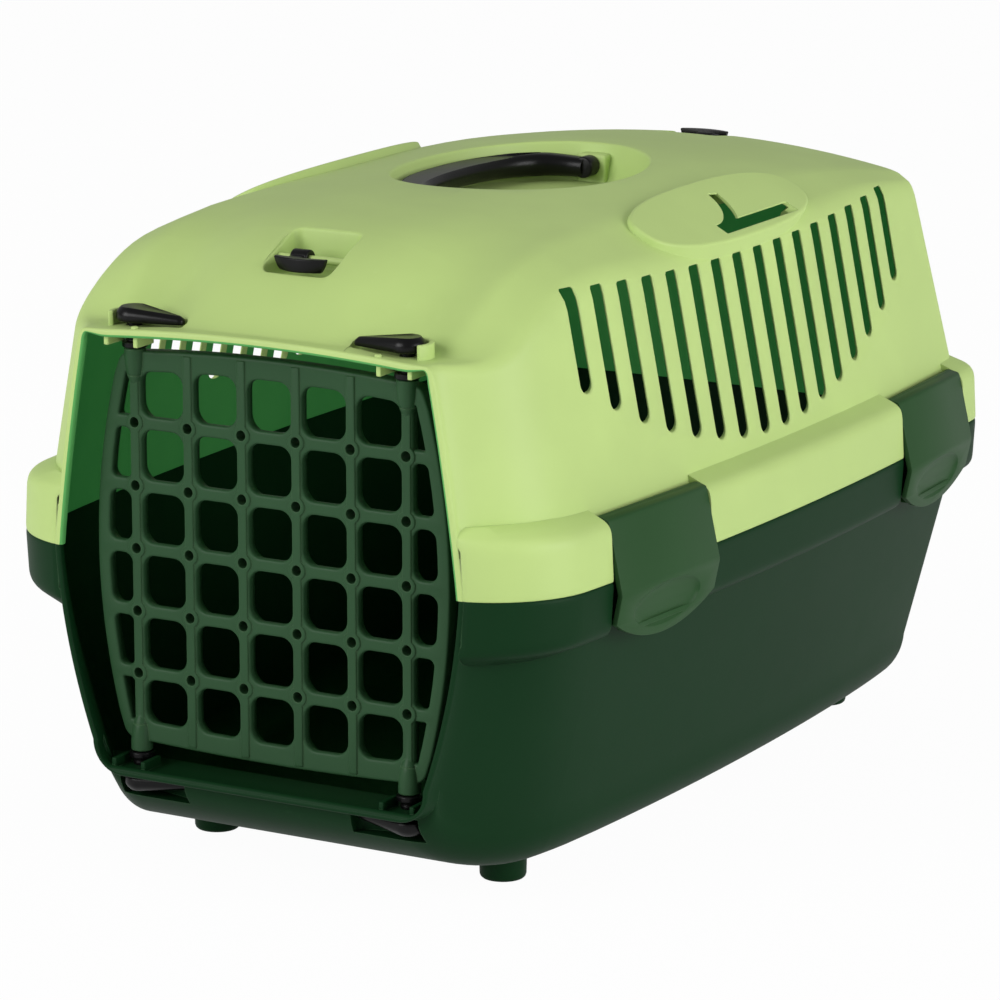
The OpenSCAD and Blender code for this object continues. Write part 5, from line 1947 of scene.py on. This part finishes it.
# ------------------------------------------------------------------ studio
@dataclass
class Studio:
    """Pale floor, soft lamps and the camera."""

    camera_at: Point = (1.120975, -1.999335, 0.681685)
    camera_turn: Point = (math.pi / 2 - 0.232, 0.0, 0.514)
    lens: float = 171.33
    floor_size: float = 30.0
    floor_white: float = 0.97
    floor_gloss: float = 0.4
    soft_light: float = 0.37

    def camera(self) -> None:
        """Adds the camera."""
        data = bpy.data.cameras.new("camera")
        data.lens, data.sensor_width, data.clip_start, data.clip_end = self.lens, 36.0, 0.05, 60.0
        obj = bpy.data.objects.new("camera", data)
        obj.location, obj.rotation_euler = self.camera_at, self.camera_turn
        bpy.context.scene.collection.objects.link(obj)
        bpy.context.scene.camera = obj

    def floor(self) -> None:
        """Adds the floor, which shows white with the object's soft shadow."""
        Bench.clear()
        bpy.ops.mesh.primitive_plane_add(size=self.floor_size)
        obj = bpy.context.object
        obj.name = "floor"
        g = Graph(bpy.data.materials.new("floor_white"))
        path = g.node("ShaderNodeLightPath")
        straight, glossy, through = (
            Val(g, path.outputs[f"Is {ray} Ray"]) for ray in ("Camera", "Glossy", "Transmission"))
        veil = (straight + glossy * self.floor_gloss + through).capped()
        matt = g.node("ShaderNodeBsdfDiffuse", None, {"Color": (0.86, 0.86, 0.86, 1)})
        glow = g.node("ShaderNodeEmission", None, {"Color": (1, 1, 1, 1), "Strength": 1.0})
        both_ways = g.node("ShaderNodeMixShader", None, {
            0: veil * self.floor_white, 1: matt.outputs[0], 2: glow.outputs[0]})
        g.node("ShaderNodeOutputMaterial", None, {"Surface": both_ways.outputs[0]})
        obj.data.materials.append(g.owner)

    def world(self) -> None:
        """Makes the surroundings: white to the eye, soft light on the object."""
        world = bpy.data.worlds.new("studio")
        bpy.context.scene.world = world
        g = Graph(world)
        path = g.node("ShaderNodeLightPath")
        seen = Val(g, path.outputs["Is Camera Ray"]) + Val(g, path.outputs["Is Transmission Ray"])
        soft, white = (g.node("ShaderNodeBackground", None, {"Color": (1, 1, 1, 1), "Strength": strength})
                       for strength in (self.soft_light, 1.0))
        mix = g.node("ShaderNodeMixShader", None, {0: seen, 1: soft.outputs[0], 2: white.outputs[0]})
        g.node("ShaderNodeOutputWorld", None, {"Surface": mix.outputs[0]})

    def lamp(self, name: str, at: Point, size: float, power: float) -> None:
        """Adds a square lamp that faces the object.

        Args:
            name: its name.
            at: where it stands.
            size: length of its sides.
            power: its power in watts.
        """
        data = bpy.data.lights.new(name, "AREA")
        data.size, data.energy = size, power
        obj = bpy.data.objects.new(name, data)
        obj.location = at
        obj.rotation_euler = (Vector((0, 0, 0.15)) - Vector(at)).to_track_quat("-Z", "Y").to_euler()
        bpy.context.scene.collection.objects.link(obj)

    def build(self) -> None:
        """Sets up the whole studio."""
        self.camera()
        self.world()
        self.floor()
        self.lamp("key", (2.85, -0.1, 0.8), 1.8, 55)
        self.lamp("front", (-1.1, -2.4, 1.3), 1.6, 47)
        bpy.context.scene.view_settings.view_transform = "Standard"


# ------------------------------------------------------------------ carrier
@dataclass
class Carrier:
    """The whole carrier: builds each piece, finishes it and puts it on its body."""

    form: Form = field(default_factory=Form)

    def finish(self, obj: bpy.types.Object, name: str, body: str, material: bpy.types.Material,
               inside: bpy.types.Material | None = None, angle: float = 32.0) -> None:
        """Scales a piece to metres, shades it and hands it over.

        Args:
            obj: the piece in millimetres.
            name: the CAD node that it stands for.
            body: the body that it rides on.
            material: its finish.
            inside: the finish of the faces that lined() marked; the upper shell's inside finish is painted shade with a
                painted glow.
            angle: edges sharper than this many degrees stay sharp.
        """
        obj.data.transform(Matrix.Scale(MM, 4))
        obj.name = obj.data.name = f"{name}_piece"
        names = [m.name if m else "" for m in obj.data.materials]
        lined = inside is not None and INSIDE in names
        inner = [lined and names[p.material_index] == INSIDE for p in obj.data.polygons]
        obj.data.materials.clear()
        obj.data.materials.append(material)
        if inside:
            obj.data.materials.append(inside)
        obj.data.polygons.foreach_set("material_index", [int(flag) for flag in inner])
        Bench.take(obj)
        bpy.ops.object.shade_smooth_by_angle(angle=math.radians(angle))
        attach(obj, body)
        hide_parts(name)
        LOG.info("%s: %d faces, rides on %s", obj.name, len(obj.data.polygons), body)

    def build(self) -> None:
        """Builds every piece."""
        form = self.form
        clips, latches = ClipSeats(form), LatchSeats(form)
        upper = UpperShell(form, clips, latches)
        self.finish(upper.build(), "upper_shell", "lid", UPPER.material(), UPPER_INSIDE_SHADE_GLOW.material())
        lower = LowerShell(form, clips, latches)
        self.finish(lower.build(), "lower_shell", "tub", TUB.material())
        self.finish(DoorGrille(latches).build(), "door_grille", "door", DOOR.material())
        latch, black = TurnLatch(latches), LATCH.material()
        for top in (True, False):
            for side in (1, -1):
                tail = f"{'top' if top else 'bottom'}_{'right' if side > 0 else 'left'}"
                pieces = {"lever": latch.lever(), "pin": latch.pin(latches.deck_t if top else form.sill_t)}
                for kind, piece in pieces.items():
                    placed = latch.placed(piece, side, top)
                    self.finish(placed, f"latch_{kind}_{tail}", f"latch_{tail}", black)
        clip, green = RimClip(clips), CLIP.material()
        for side, y in clips.places():
            name = f"clip_{'front' if y < 0 else 'rear'}_{'right' if side > 0 else 'left'}"
            self.finish(clips.placed(clip.build(), side, y), name, name, green)
        self.finish(CarryHandle().build(), "carry_handle", "handle", HANDLE.material())
        eye, dark = StrapEye(), EYE.material()
        for y, z, name, turn in zip(upper.eye_ys, upper.eye_zs, ("strap_eye_front", "strap_eye_rear"), (0.0, math.pi)):
            place = Matrix.Translation((0, y, z)) @ Matrix.Rotation(turn, 4, "Z")
            self.finish(eye.build(place), name, name, dark)


def main() -> None:
    """Builds the studio and the carrier; the face count of each built piece is logged."""
    logging.basicConfig(level=logging.INFO, format="%(name)s: %(message)s")
    Studio().build()
    Carrier().build()
    bpy.context.view_layer.update()


if __name__ == "__main__":
    main()
